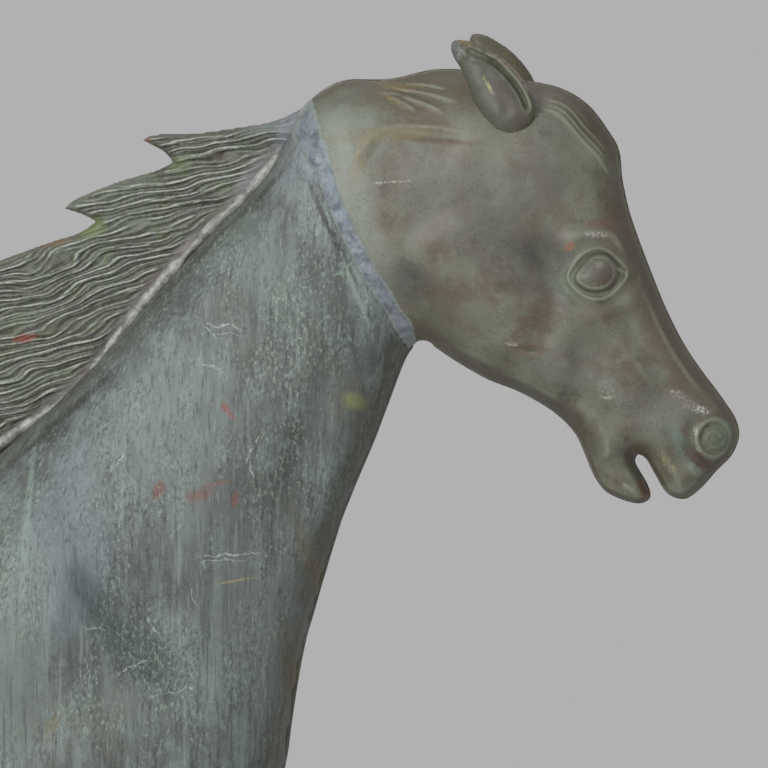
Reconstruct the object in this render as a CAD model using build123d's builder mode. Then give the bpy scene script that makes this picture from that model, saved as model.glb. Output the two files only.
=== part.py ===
"""Weather vane: a trotting horse of hollow sheet-copper shells that turns on a fixed spindle.

Frame: millimetres, +Z up, +X towards the horse's nose, origin on the spindle's axis at the
underside of the base flange. The horse, its bar and its pivot sleeve turn together about Z.
The flange, mast, spindle, globes and compass arms stand still.
"""

import os

from build123d import *

os.makedirs("parts", exist_ok=True)

# ---------------------------------------------------------------- driving dimensions
SHEET = 1.2  # copper sheet of the horse
GLOBE_SHEET = 1.0
SOLDER_R = 2.4

FLANGE_R = 55.0
FLANGE_T = 9.0
FLANGE_HUB_R = 27.0
FLANGE_HUB_TOP = 34.0
FLANGE_FILLET = 5.0
EDGE = 2.0
BOLT_CIRCLE_R = 42.0
BOLT_HOLE_R = 3.5

MAST_R = 16.7
MAST_BORE_R = 13.3
MAST_BOTTOM = 4.0
MAST_TOP = 160.0
CAP_R = 22.0
CAP_BOTTOM = 142.0
CAP_TOP = 172.0
CAP_CHAMFER = 4.0
CAP_SCREW_DROP = 6.0

SCREW_R = 3.0
SCREW_HEAD_R = 4.5
SCREW_HEAD_H = 3.0
SCREW_SLOT_W = 1.0
SCREW_SLOT_DEPTH = 1.2
SCREW_ANGLE = 45
SPINDLE_R = 8.0
SPINDLE_BOTTOM = 40.0
PIVOT_TIP_Z = 690.0
PIVOT_TIP_R = 0.8
PIVOT_CONE_H = 12.0

LOWER_GLOBE_R = 55.0
UPPER_GLOBE_R = 34.0
FERRULE_R = 11.0
FERRULE_BITE = 3.5
FERRULE_LIP = 4.0
HUB_R = 17.0
HUB_H = 26.0
HUB_SCREW_RISE = 6.0
GLOBE_GAP = 4.0
ARM_R = 4.0
ARM_START = 10.0
ARM_REACH = 205.0
BOSS_R = 6.5
BOSS_L = 14.0
PIN_R = 1.5
LETTER_H = 62.0
LETTER_W = 46.0
LETTER_T = 4.0
STROKE = 11.0
E_BAR_SHORT = 5.0
W_SPREAD = 4.0
S_BOWL = (LETTER_H - STROKE) / 4
S_BOWL_R = 1.25 * S_BOWL
S_OPENING = 20
S_SWEEP = 250
PIVOT_PLAY = 0.05

LOWER_GLOBE_Z = CAP_TOP + 2 * GLOBE_GAP + LOWER_GLOBE_R
HUB_Z = LOWER_GLOBE_Z + LOWER_GLOBE_R + GLOBE_GAP + HUB_H / 2
UPPER_GLOBE_Z = HUB_Z + HUB_H / 2 + GLOBE_GAP + UPPER_GLOBE_R

SLEEVE_R = 11.1
SLEEVE_BORE_R = 9.6
SLEEVE_BOTTOM = UPPER_GLOBE_Z + UPPER_GLOBE_R + 8
SLEEVE_TOP = 702.0
RUNNING_CLEARANCE = 0.06
BUSH_H = 20.0
UPPER_BUSH_Z = 655.0
CUP_DEPTH = 6.0
BRACKET_Z = 694.0
BRACKET_W = 24.0
BRACKET_L = 160.0
BRACKET_T = 4.0
BELLY_Z = 653.0
COLLAR_R = 16.0
COLLAR_DROP = 7.0

BAR_R = 6.0
BAR_TOP = 430.0
BAR_Z = BAR_TOP - BAR_R
BAR_FRONT_X = 168.0
BAR_REAR_X = -272.0
BAR_BALL_R = 9.0
CROSS_R = 16.0
CROSS_H = 32.0
CROSS_SOCKET_R = 10.0
CROSS_REACH = 32.0
BAR_START_X = 14.0
SOLE_T = 2.0
RIVET_R = 2.0
RIVET_HEAD_R = 3.5
RIVET_HEAD_H = 1.5
RIVET_STEP = 6.0
PLANTED_HOOVES = (121.0, -224.0)

# The trunk and neck: (top x, z), (bottom x, z), half width, from the rump to the throat.
BODY_STATIONS = [
    ((-254, 792), (-250, 742), 20),
    ((-240, 822), (-236, 704), 42),
    ((-200, 843), (-203, 680), 62),
    ((-150, 853), (-152, 670), 68),
    ((-98, 849), (-98, 668), 65),
    ((-45, 841), (-42, 660), 65),
    ((2, 848), (16, 652), 64),
    ((34, 858), (76, 654), 60),
    ((60, 874), (136, 672), 55),
    ((84, 897), (178, 716), 48),
    ((110, 922), (195, 765), 42),
    ((136, 948), (205, 816), 36),
    ((162, 977), (218, 858), 31),
    ((186, 1001), (233, 895), 28),
    ((205, 1031), (246, 931), 27),
]
# The head: from the throat seam over the poll to the lips.
HEAD_STATIONS = [
    ((205, 1031), (246, 931), 27),
    ((232, 1041), (252, 932), 29),
    ((262, 1045), (259, 930), 31),
    ((298, 1041), (268, 925), 32),
    ((322, 1032), (281, 916), 32),
    ((335, 1014), (295, 909), 31),
    ((338, 990), (307, 901), 30),
    ((348, 962), (316, 891), 26),
    ((361, 937), (322, 880), 22),
    ((374, 916), (328, 871), 20),
    ((384, 901), (338, 865), 19),
    ((386.5, 889), (352, 864), 15),
    ((382, 882), (366, 868), 8),
]
THROAT_TOP, THROAT_BOTTOM, THROAT_HALF_WIDTH = BODY_STATIONS[-1]

# Legs: centre (x, z), half depth fore and aft, half width. The legs close in towards the bar.
HIP_Y = 28.0
HIP_Z = 740.0
FOOT_Y = 8.0
LEGS = {
    "right_foreleg": {
        "side": -1,
        "planted": True,
        "stations": [
            (92, 735, 36, 23), (98, 690, 25, 20), (104, 640, 16, 15), (107, 590, 12, 12),
            (104, 568, 11, 11), (102, 530, 7.5, 7), (102, 490, 8, 7.5), (104, 476, 9.5, 9),
            (112, 456, 8, 8), (117, 446, 12, 11), (122, 424, 17, 14),
        ],
    },
    "left_foreleg": {
        "side": 1,
        "planted": False,
        "stations": [
            (100, 735, 36, 23), (122, 696, 25, 20), (152, 664, 16, 15), (184, 645, 12, 12),
            (187, 622, 11, 11), (181, 585, 7.5, 7), (172, 553, 8, 7.5), (165, 540, 9.5, 9),
            (148, 530, 8, 8), (139, 524, 12, 11), (124, 513, 17, 14),
        ],
    },
    "right_hindleg": {
        "side": -1,
        "planted": False,
        "stations": [
            (-176, 760, 56, 30), (-156, 712, 48, 28), (-140, 660, 33, 22), (-142, 612, 19, 14),
            (-152, 580, 14, 12), (-143, 560, 13, 11), (-122, 534, 8.5, 8), (-102, 508, 8.5, 8),
            (-93, 496, 10, 9), (-84, 478, 8.5, 8), (-78, 469, 12, 11), (-68, 455, 17, 14),
        ],
    },
    "left_hindleg": {
        "side": 1,
        "planted": True,
        "stations": [
            (-180, 760, 56, 30), (-178, 712, 48, 28), (-186, 660, 32, 22), (-212, 612, 19, 14),
            (-232, 585, 14, 12), (-236, 565, 13, 11), (-240, 525, 8.5, 8), (-243, 492, 8.5, 8),
            (-243, 478, 10, 9), (-233, 457, 8.5, 8), (-229, 447, 12, 11), (-223, 424, 17, 14),
        ],
    },
}
# The tail: centre (x, z), half depth, half width, from the dock to the tip.
TAIL_STATIONS = [(-238, 808, 15, 12), (-262, 822, 17, 13), (-292, 824, 21, 14), (-322, 806, 26, 15),
                 (-346, 772, 30, 15), (-362, 728, 31, 14), (-374, 684, 26, 12), (-386, 646, 14, 8),
                 (-396, 622, 4, 3)]
# The mane's ragged upper edge, from the withers to the poll, and its foot under the crest.
MANE_EDGE = [(8, 858), (-34, 872), (-10, 884), (-28, 908), (6, 914), (22, 930), (10, 944), (52, 956),
             (75, 966), (98, 974), (112, 981), (101, 988), (120, 998), (146, 1006), (136, 1018),
             (176, 1022), (202, 1030)]
MANE_FOOT = [(207, 1022), (170, 972), (126, 926), (82, 884), (44, 856)]
MANE_HALF_T = 8.0
BEAD_T = 1.5
BEAD_W = 6.0
# The line where mane and neck meet, which carries a bead of solder on each side.
CREST_LINE = [(40, 862), (72, 890), (112, 929), (152, 972), (190, 1008)]

EARS = {"right_ear": -1, "left_ear": 1}
EAR_STATIONS = [(292, 1019, 12, 8), (285, 1036, 12, 8), (276, 1051, 8, 5.5), (267, 1061, 3.5, 2.5)]
EAR_Y = 21.0
HEAD_HALF_W = 40.0

# The open mouth: the gap between the lips, from its corner out past the chin.
MOUTH = [(343, 885), (349, 886), (352, 881), (358, 868), (362, 856), (349, 856), (350, 868), (345, 880)]


# ---------------------------------------------------------------- forms used by the shells
def upright_plane(centre, up, y=0.0):
    """Section plane through centre (x, z), its x axis along up and its other axis along Y."""
    return Plane(origin=(centre[0], y, centre[1]), x_dir=(up[0], 0, up[1]), z_dir=(up[1], 0, -up[0]))


def ring_form(stations, wall=0.0):
    """Solid through ellipses that stand between a top point and a bottom point."""
    with BuildPart() as form:
        for top, bottom, half_width in stations:
            centre = ((top[0] + bottom[0]) / 2, (top[1] + bottom[1]) / 2)
            up = (top[0] - bottom[0], top[1] - bottom[1])
            half_height = (up[0] ** 2 + up[1] ** 2) ** 0.5 / 2
            with BuildSketch(upright_plane(centre, up)):
                Ellipse(half_height - wall, half_width - wall)
        loft(ruled=True)
    return form.part


def limb_form(stations, y_at, wall=0.0):
    """Solid through ellipses square to a limb's centre line, whose y at height z is y_at(z)."""
    with BuildPart() as form:
        for i, (x, z, half_depth, half_width) in enumerate(stations):
            before = stations[max(i - 1, 0)]
            after = stations[min(i + 1, len(stations) - 1)]
            across = (before[1] - after[1], after[0] - before[0])
            with BuildSketch(upright_plane((x, z), across, y_at(z))):
                Ellipse(half_depth - wall, half_width - wall)
        loft(ruled=True)
    return form.part


def leg_line(side):
    """The y of a leg's centre line, as a function of its height."""
    return lambda z: side * (FOOT_Y + (HIP_Y - FOOT_Y) * (z - BAR_TOP) / (HIP_Z - BAR_TOP))


def leg_form(leg, wall=0.0):
    """A leg's solid form. A planted hoof is cut flat where it stands on the bar."""
    stations = shorten(leg["stations"], end=2 * wall)
    with BuildPart() as form:
        add(limb_form(stations, leg_line(leg["side"]), wall))
        if leg["planted"]:
            split(bisect_by=Plane.XY.offset(BAR_TOP + (SOLE_T if wall else 0)), keep=Keep.TOP)
    return form.part


def shorten(stations, start=0.0, end=0.0):
    """The stations with the first or last one moved inwards along the centre line."""
    moved = list(stations)
    for here, towards, distance in ((0, 1, start), (-1, -2, end)):
        x, z, depth, width = moved[here]
        dx, dz = moved[towards][0] - x, moved[towards][1] - z
        share = distance / (dx**2 + dz**2) ** 0.5
        moved[here] = (x + dx * share, z + dz * share, depth, width)
    return moved


def shorten_rings(stations, start=0.0, end=0.0):
    """The ring stations with the first or last ring moved inwards along the centre line."""
    moved = list(stations)
    for here, towards, distance in ((0, 1, start), (-1, -2, end)):
        (top, bottom, width), (top_2, bottom_2, _) = moved[here], moved[towards]
        dx = (top_2[0] + bottom_2[0] - top[0] - bottom[0]) / 2
        dz = (top_2[1] + bottom_2[1] - top[1] - bottom[1]) / 2
        share = distance / (dx**2 + dz**2) ** 0.5
        step = (dx * share, dz * share)
        moved[here] = (
            (top[0] + step[0], top[1] + step[1]),
            (bottom[0] + step[0], bottom[1] + step[1]),
            width,
        )
    return moved


def finish(piece, name):
    """Labels a finished sub-part and writes its STEP file."""
    piece.part.label = name
    export_step(piece.part, f"parts/{name}.step")
    print(name, round(piece.part.volume))


def keep_half(side):
    """The side of the horse's own centre plane that a half shell keeps: right is towards -Y."""
    return Keep.TOP if side == "right" else Keep.BOTTOM


def spoke_plane(angle, radius, z):
    """Plane across a horizontal spoke at this angle from +X, its y axis upright."""
    spoke = Vector(1, 0, 0).rotate(Axis.Z, angle)
    across = Vector(0, 1, 0).rotate(Axis.Z, angle)
    return Plane(origin=spoke * radius + Vector(0, 0, z), x_dir=across, z_dir=spoke)


body_outer = ring_form(BODY_STATIONS)
body_inner = ring_form(shorten_rings(BODY_STATIONS, start=2 * SHEET), SHEET)
head_outer = ring_form(HEAD_STATIONS)
head_inner = ring_form(shorten_rings(HEAD_STATIONS, end=2 * SHEET), SHEET)

# ---------------------------------------------------------------- base, mast and spindle
with BuildPart() as base_flange:
    with BuildSketch(Plane.XZ):
        with BuildLine():
            Polyline(
                (MAST_R, 0), (FLANGE_R, 0), (FLANGE_R, FLANGE_T - EDGE), (FLANGE_R - EDGE, FLANGE_T),
                (FLANGE_HUB_R + FLANGE_FILLET, FLANGE_T), (FLANGE_HUB_R, FLANGE_T + FLANGE_FILLET),
                (FLANGE_HUB_R - 1, FLANGE_HUB_TOP), (MAST_R, FLANGE_HUB_TOP), close=True,
            )
        make_face()
    revolve(axis=Axis.Z)
    with BuildSketch(Plane.XY):
        with PolarLocations(BOLT_CIRCLE_R, 4, start_angle=45):
            Circle(BOLT_HOLE_R)
    extrude(amount=FLANGE_T, mode=Mode.SUBTRACT)
finish(base_flange, "base_flange")

with BuildPart() as mast_pipe:
    with BuildSketch(Plane.XY.offset(MAST_BOTTOM)):
        Circle(MAST_R)
        Circle(MAST_BORE_R, mode=Mode.SUBTRACT)
    extrude(amount=MAST_TOP - MAST_BOTTOM)
finish(mast_pipe, "mast_pipe")

with BuildPart() as mast_cap:
    with BuildSketch(Plane.XZ):
        with BuildLine():
            Polyline(
                (SPINDLE_R, MAST_TOP), (MAST_R, MAST_TOP), (MAST_R, CAP_BOTTOM), (CAP_R, CAP_BOTTOM),
                (CAP_R, CAP_TOP - CAP_CHAMFER), (CAP_R - CAP_CHAMFER, CAP_TOP), (SPINDLE_R, CAP_TOP),
                close=True,
            )
        make_face()
    revolve(axis=Axis.Z)
    with BuildSketch(spoke_plane(SCREW_ANGLE, SPINDLE_R, CAP_TOP - CAP_SCREW_DROP)):
        Circle(SCREW_R)
    extrude(amount=CAP_R, mode=Mode.SUBTRACT)
finish(mast_cap, "mast_cap")

with BuildPart() as spindle:
    with BuildSketch(Plane.XZ):
        with BuildLine():
            Polyline(
                (0, SPINDLE_BOTTOM), (SPINDLE_R - 1, SPINDLE_BOTTOM), (SPINDLE_R, SPINDLE_BOTTOM + 1),
                (SPINDLE_R, PIVOT_TIP_Z - PIVOT_CONE_H), (PIVOT_TIP_R, PIVOT_TIP_Z), (0, PIVOT_TIP_Z),
                close=True,
            )
        make_face()
    revolve(axis=Axis.Z)
finish(spindle, "spindle")

# ---------------------------------------------------------------- globes on the spindle
for globe, radius, centre_z in (
    ("lower_globe", LOWER_GLOBE_R, LOWER_GLOBE_Z),
    ("upper_globe", UPPER_GLOBE_R, UPPER_GLOBE_Z),
):
    for half, rise in (("lower", -1), ("upper", 1)):
        with BuildPart() as globe_half:
            with BuildSketch(Plane.XZ):
                with Locations((0, centre_z)):
                    Circle(radius)
                    Circle(radius - GLOBE_SHEET, mode=Mode.SUBTRACT)
                with Locations((radius / 2 + FERRULE_R, centre_z + rise * radius / 2)):
                    Rectangle(radius, radius, mode=Mode.INTERSECT)
            revolve(axis=Axis.Z)
        finish(globe_half, f"{globe}_{half}_half")

ferrule_spans = [
    (CAP_TOP, LOWER_GLOBE_Z - LOWER_GLOBE_R + FERRULE_BITE),
    (LOWER_GLOBE_Z + LOWER_GLOBE_R - FERRULE_BITE, HUB_Z - HUB_H / 2),
    (HUB_Z + HUB_H / 2, UPPER_GLOBE_Z - UPPER_GLOBE_R + FERRULE_BITE),
    (UPPER_GLOBE_Z + UPPER_GLOBE_R - FERRULE_BITE, UPPER_GLOBE_Z + UPPER_GLOBE_R + FERRULE_LIP),
]
with BuildPart() as globe_ferrules:
    for low, high in ferrule_spans:
        with BuildSketch(Plane.XY.offset(low)):
            Circle(FERRULE_R)
            Circle(SPINDLE_R, mode=Mode.SUBTRACT)
        extrude(amount=high - low)
finish(globe_ferrules, "globe_ferrules")

# ---------------------------------------------------------------- compass hub, arms and letters
with BuildPart() as compass_hub:
    with Locations((0, 0, HUB_Z)):
        Cylinder(HUB_R, HUB_H)
    fillet(compass_hub.edges().filter_by(GeomType.CIRCLE), EDGE)
    with Locations((0, 0, HUB_Z)):
        Cylinder(SPINDLE_R, HUB_H, mode=Mode.SUBTRACT)
    for angle in (0, 90, 180, 270):
        with BuildSketch(spoke_plane(angle, ARM_START, HUB_Z)):
            Circle(ARM_R)
        extrude(amount=HUB_R, mode=Mode.SUBTRACT)
    with BuildSketch(spoke_plane(SCREW_ANGLE, SPINDLE_R, HUB_Z + HUB_SCREW_RISE)):
        Circle(SCREW_R)
    extrude(amount=HUB_R, mode=Mode.SUBTRACT)
finish(compass_hub, "compass_hub")

with BuildPart() as set_screws:
    for z, reach in ((CAP_TOP - CAP_SCREW_DROP, CAP_R), (HUB_Z + HUB_SCREW_RISE, HUB_R)):
        with BuildSketch(spoke_plane(SCREW_ANGLE, SPINDLE_R, z)):
            Circle(SCREW_R)
        extrude(amount=reach - SPINDLE_R)
        with BuildSketch(spoke_plane(SCREW_ANGLE, reach, z)):
            Circle(SCREW_HEAD_R)
        extrude(amount=SCREW_HEAD_H)
        with BuildSketch(spoke_plane(SCREW_ANGLE, reach + SCREW_HEAD_H, z)):
            Rectangle(2 * SCREW_HEAD_R, SCREW_SLOT_W)
        extrude(amount=-SCREW_SLOT_DEPTH, mode=Mode.SUBTRACT)
finish(set_screws, "set_screws")

# Each letter's strokes run through these points, across and up from the letter's centre.
W2, H2 = (LETTER_W - STROKE) / 2, (LETTER_H - STROKE) / 2
LETTER_STROKES = {
    "e": [[(W2, H2), (-W2, H2), (-W2, -H2), (W2, -H2)], [(-W2, 0), (W2 - E_BAR_SHORT, 0)]],
    "n": [[(-W2, -H2), (-W2, H2), (W2, -H2), (W2, H2)]],
    "w": [[(-W2 - W_SPREAD, H2), (-W2 / 2, -H2), (0, H2 / 2), (W2 / 2, -H2), (W2 + W_SPREAD, H2)]],
}
# Name of the arm, its letter, its angle from +X and how far its boss runs on into the letter.
COMPASS = [
    ("east", "e", 0, 4),
    ("north", "n", 90, 4),
    ("west", "w", 180, 8),
    ("south", "s", 270, 20),
]
for direction, letter, angle, boss_run in COMPASS:
    with BuildPart() as arm:
        with BuildSketch(spoke_plane(angle, ARM_START, HUB_Z)):
            Circle(ARM_R)
        extrude(amount=ARM_REACH - ARM_START)
        with BuildSketch(Plane.XY.offset(HUB_Z - BOSS_R)):
            with PolarLocations(ARM_REACH - BOSS_L / 2, 1, start_angle=angle):
                Circle(PIN_R)
        extrude(amount=2 * BOSS_R, mode=Mode.SUBTRACT)
    finish(arm, f"arm_{direction}")

    # East and west read from -Y, north and south from +X.
    along_x = direction in ("east", "west")
    sign = 1 if direction in ("east", "north") else -1
    centre = sign * (ARM_REACH + LETTER_W / 2)
    face = Plane(
        origin=(centre, 0, HUB_Z) if along_x else (0, centre, HUB_Z),
        x_dir=(1, 0, 0) if along_x else (0, 1, 0),
        z_dir=(0, -1, 0) if along_x else (1, 0, 0),
    )
    with BuildPart() as letter_plate:
        with BuildSketch(face.offset(-LETTER_T / 2)):
            if letter == "s":
                with BuildLine() as strokes:
                    CenterArc((0, S_BOWL), S_BOWL_R, S_OPENING, S_SWEEP)
                    CenterArc((0, -S_BOWL), S_BOWL_R, 90, -S_SWEEP)
                trace(line_width=STROKE)
            else:
                for points in LETTER_STROKES[letter]:
                    with BuildLine() as strokes:
                        Polyline(*points)
                    trace(line_width=STROKE)
        extrude(amount=LETTER_T)
        with BuildSketch(spoke_plane(angle, ARM_REACH - BOSS_L, HUB_Z)):
            Circle(BOSS_R)
        extrude(amount=BOSS_L + boss_run)
        with BuildSketch(spoke_plane(angle, ARM_REACH - BOSS_L, HUB_Z)):
            Circle(ARM_R)
        extrude(amount=BOSS_L, mode=Mode.SUBTRACT)
        with BuildSketch(Plane.XY.offset(HUB_Z - BOSS_R)):
            with PolarLocations(ARM_REACH - BOSS_L / 2, 1, start_angle=angle):
                Circle(PIN_R)
        extrude(amount=2 * BOSS_R, mode=Mode.SUBTRACT)
    finish(letter_plate, f"letter_{letter}")

with BuildPart() as letter_pins:
    with BuildSketch(Plane.XY.offset(HUB_Z - BOSS_R)):
        with PolarLocations(ARM_REACH - BOSS_L / 2, 4):
            Circle(PIN_R)
    extrude(amount=2 * BOSS_R)
finish(letter_pins, "letter_pins")

# ---------------------------------------------------------------- pivot sleeve and its bearings
with BuildPart() as pivot_sleeve:
    with BuildSketch(Plane.XY.offset(SLEEVE_BOTTOM)):
        Circle(SLEEVE_R)
        Circle(SLEEVE_BORE_R, mode=Mode.SUBTRACT)
    extrude(amount=SLEEVE_TOP - SLEEVE_BOTTOM)
finish(pivot_sleeve, "pivot_sleeve")

for bush, low in (("lower_bush", SLEEVE_BOTTOM), ("upper_bush", UPPER_BUSH_Z)):
    with BuildPart() as bush_ring:
        with BuildSketch(Plane.XY.offset(low)):
            Circle(SLEEVE_BORE_R)
            Circle(SPINDLE_R + RUNNING_CLEARANCE, mode=Mode.SUBTRACT)
        extrude(amount=BUSH_H)
    finish(bush_ring, bush)

with BuildPart() as pivot_cup:
    with BuildSketch(Plane.XZ):
        with BuildLine():
            Polyline(
                (0, PIVOT_TIP_Z + PIVOT_PLAY), (PIVOT_TIP_R, PIVOT_TIP_Z + PIVOT_PLAY),
                (SPINDLE_R, PIVOT_TIP_Z - CUP_DEPTH), (SLEEVE_BORE_R, PIVOT_TIP_Z - CUP_DEPTH),
                (SLEEVE_BORE_R, SLEEVE_TOP), (0, SLEEVE_TOP), close=True,
            )
        make_face()
    revolve(axis=Axis.Z)
finish(pivot_cup, "pivot_cup")

with BuildPart() as sleeve_bracket:
    with Locations((0, 0, BRACKET_Z)):
        Box(BRACKET_W, BRACKET_L, BRACKET_T)
    add(body_inner, mode=Mode.INTERSECT)
    with Locations((0, 0, BRACKET_Z)):
        Cylinder(SLEEVE_R, 2 * BRACKET_T, mode=Mode.SUBTRACT)
finish(sleeve_bracket, "sleeve_bracket")

with BuildPart() as belly_ferrule:
    with BuildSketch(Plane.XY.offset(BELLY_Z - COLLAR_DROP)):
        Circle(COLLAR_R)
        Circle(SLEEVE_R, mode=Mode.SUBTRACT)
    extrude(amount=2 * COLLAR_DROP)
finish(belly_ferrule, "belly_ferrule")

# ---------------------------------------------------------------- the bar under the hooves
with BuildPart() as bar_cross:
    with Locations((0, 0, BAR_Z)):
        Cylinder(CROSS_R, CROSS_H)
        Cylinder(CROSS_SOCKET_R, 2 * CROSS_REACH, rotation=(0, 90, 0))
        Cylinder(BAR_R, 2 * CROSS_REACH, rotation=(0, 90, 0), mode=Mode.SUBTRACT)
        Cylinder(SLEEVE_R, CROSS_H, mode=Mode.SUBTRACT)
finish(bar_cross, "bar_cross")

rivet_places = [(x + step, 0, BAR_Z) for x in PLANTED_HOOVES for step in (-RIVET_STEP, RIVET_STEP)]
for bar_name, start, end in (
    ("front_bar", BAR_START_X, BAR_FRONT_X),
    ("rear_bar", -BAR_START_X, BAR_REAR_X),
):
    with BuildPart() as bar:
        with BuildSketch(Plane.YZ.offset(start)):
            with Locations((0, BAR_Z)):
                Circle(BAR_R)
        extrude(amount=end - start)
        with Locations(rivet_places):
            Cylinder(RIVET_R, 4 * BAR_R, mode=Mode.SUBTRACT)
    finish(bar, bar_name)

with BuildPart() as bar_end_balls:
    with Locations((BAR_FRONT_X + BAR_BALL_R / 2, 0, BAR_Z), (BAR_REAR_X - BAR_BALL_R / 2, 0, BAR_Z)):
        Sphere(BAR_BALL_R)
    with BuildSketch(Plane.YZ.offset(BAR_REAR_X)):
        with Locations((0, BAR_Z)):
            Circle(BAR_R)
    extrude(amount=BAR_FRONT_X - BAR_REAR_X, mode=Mode.SUBTRACT)
finish(bar_end_balls, "bar_end_balls")

with BuildPart() as hoof_rivets:
    rivet_low, rivet_high = BAR_Z - BAR_R, BAR_TOP + SOLE_T
    with Locations(rivet_places):
        with Locations((0, 0, (rivet_low + rivet_high) / 2 - BAR_Z)):
            Cylinder(RIVET_R, rivet_high - rivet_low)
        with Locations((0, 0, rivet_low - BAR_Z - RIVET_HEAD_H / 2)):
            Cylinder(RIVET_HEAD_R, RIVET_HEAD_H)
        with Locations((0, 0, rivet_high - BAR_Z + RIVET_HEAD_H / 2)):
            Cylinder(RIVET_HEAD_R, RIVET_HEAD_H)
finish(hoof_rivets, "hoof_rivets")

# ---------------------------------------------------------------- the horse's trunk and neck
with BuildPart() as body_shell:
    add(body_outer)
    add(body_inner, mode=Mode.SUBTRACT)
    with Locations((0, 0, BELLY_Z)):
        Cylinder(COLLAR_R, 4 * COLLAR_DROP, mode=Mode.SUBTRACT)
for side in ("right", "left"):
    with BuildPart() as half:
        add(body_shell.part)
        split(bisect_by=Plane.XZ, keep=keep_half(side))
    finish(half, f"body_{side}_shell")

# ---------------------------------------------------------------- the horse's head and ears
with BuildPart() as mouth_slot:
    with BuildSketch(Plane.XZ.offset(-HEAD_HALF_W)) as slot_outline:
        with BuildLine():
            Polyline(*MOUTH, close=True)
        make_face()
    extrude(amount=2 * HEAD_HALF_W)
with BuildPart() as mouth_lining:
    with BuildSketch(Plane.XZ.offset(-HEAD_HALF_W)):
        add(slot_outline.sketch_local)
        offset(amount=SHEET, kind=Kind.INTERSECTION)
    extrude(amount=2 * HEAD_HALF_W)
with BuildPart() as head_cavity:
    add(head_inner)
    add(mouth_lining.part, mode=Mode.SUBTRACT)
with BuildPart() as head_shell:
    add(head_outer)
    add(mouth_slot.part, mode=Mode.SUBTRACT)
    add(head_cavity.part, mode=Mode.SUBTRACT)
for side in ("right", "left"):
    with BuildPart() as half:
        add(head_shell.part)
        split(bisect_by=Plane.XZ, keep=keep_half(side))
    finish(half, f"head_{side}_shell")

for ear_name, side in EARS.items():
    ear_outer = limb_form(EAR_STATIONS, lambda z: side * EAR_Y)
    ear_inner = limb_form(shorten(EAR_STATIONS, end=SHEET), lambda z: side * EAR_Y, SHEET)
    with BuildPart() as ear:
        add(ear_outer)
        add(ear_inner, mode=Mode.SUBTRACT)
        add(head_outer, mode=Mode.SUBTRACT)
    finish(ear, ear_name)

# ---------------------------------------------------------------- mane and its solder
with BuildPart() as mane_block:
    with BuildSketch(Plane.XZ.offset(-MANE_HALF_T)) as mane_outline:
        with BuildLine():
            Polyline(*MANE_EDGE, *MANE_FOOT, close=True)
        make_face()
    extrude(amount=2 * MANE_HALF_T)
with BuildPart() as mane_cavity:
    with BuildSketch(Plane.XZ.offset(SHEET - MANE_HALF_T)):
        add(mane_outline.sketch_local)
        offset(amount=-SHEET, kind=Kind.INTERSECTION)
    extrude(amount=2 * (MANE_HALF_T - SHEET))
with BuildPart() as mane_shell:
    add(mane_block.part)
    add(mane_cavity.part, mode=Mode.SUBTRACT)
    add(body_outer, mode=Mode.SUBTRACT)
    add(head_outer, mode=Mode.SUBTRACT)
for side in ("right", "left"):
    with BuildPart() as half:
        add(mane_shell.part)
        split(bisect_by=Plane.XZ, keep=keep_half(side))
    finish(half, f"mane_{side}_sheet")

with BuildPart() as mane_solder_beads:
    for y in (-MANE_HALF_T, MANE_HALF_T):
        with BuildLine(Plane.XZ.offset(-y)) as bead_path:
            Spline(*CREST_LINE)
        with BuildSketch(Plane(origin=bead_path.line @ 0, z_dir=bead_path.line % 0)):
            Circle(SOLDER_R)
        sweep(path=bead_path.line)
    add(body_outer, mode=Mode.SUBTRACT)
    add(mane_block.part, mode=Mode.SUBTRACT)
finish(mane_solder_beads, "mane_solder_beads")

throat_centre = ((THROAT_TOP[0] + THROAT_BOTTOM[0]) / 2, (THROAT_TOP[1] + THROAT_BOTTOM[1]) / 2)
throat_up = (THROAT_TOP[0] - THROAT_BOTTOM[0], THROAT_TOP[1] - THROAT_BOTTOM[1])
throat_half_height = (throat_up[0] ** 2 + throat_up[1] ** 2) ** 0.5 / 2
with BuildPart() as throat_solder_bead:
    with BuildSketch(upright_plane(throat_centre, throat_up).offset(-BEAD_W / 2)):
        Ellipse(throat_half_height + BEAD_T, THROAT_HALF_WIDTH + BEAD_T)
    extrude(amount=BEAD_W)
    for form in (body_outer, head_outer, mane_block.part):
        add(form, mode=Mode.SUBTRACT)
finish(throat_solder_bead, "throat_solder_bead")

# ---------------------------------------------------------------- tail and legs
with BuildPart() as tail_shell:
    add(limb_form(TAIL_STATIONS, lambda z: 0))
    add(limb_form(shorten(TAIL_STATIONS, end=SHEET), lambda z: 0, SHEET), mode=Mode.SUBTRACT)
    add(body_outer, mode=Mode.SUBTRACT)
for side in ("right", "left"):
    with BuildPart() as half:
        add(tail_shell.part)
        split(bisect_by=Plane.XZ, keep=keep_half(side))
    finish(half, f"tail_{side}_shell")

for leg_name, leg in LEGS.items():
    side = leg["side"]
    parting = Plane(
        origin=(0, side * FOOT_Y, BAR_TOP),
        x_dir=(1, 0, 0),
        z_dir=(0, side * (HIP_Z - BAR_TOP), FOOT_Y - HIP_Y),
    )
    with BuildPart() as leg_shell:
        add(leg_form(leg))
        add(leg_form(leg, SHEET), mode=Mode.SUBTRACT)
        add(body_outer, mode=Mode.SUBTRACT)
        add(hoof_rivets.part, mode=Mode.SUBTRACT)
    for shell, keep in (("outer", Keep.TOP), ("inner", Keep.BOTTOM)):
        with BuildPart() as half:
            add(leg_shell.part)
            split(bisect_by=parting, keep=keep)
        finish(half, f"{leg_name}_{shell}_shell")
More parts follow.
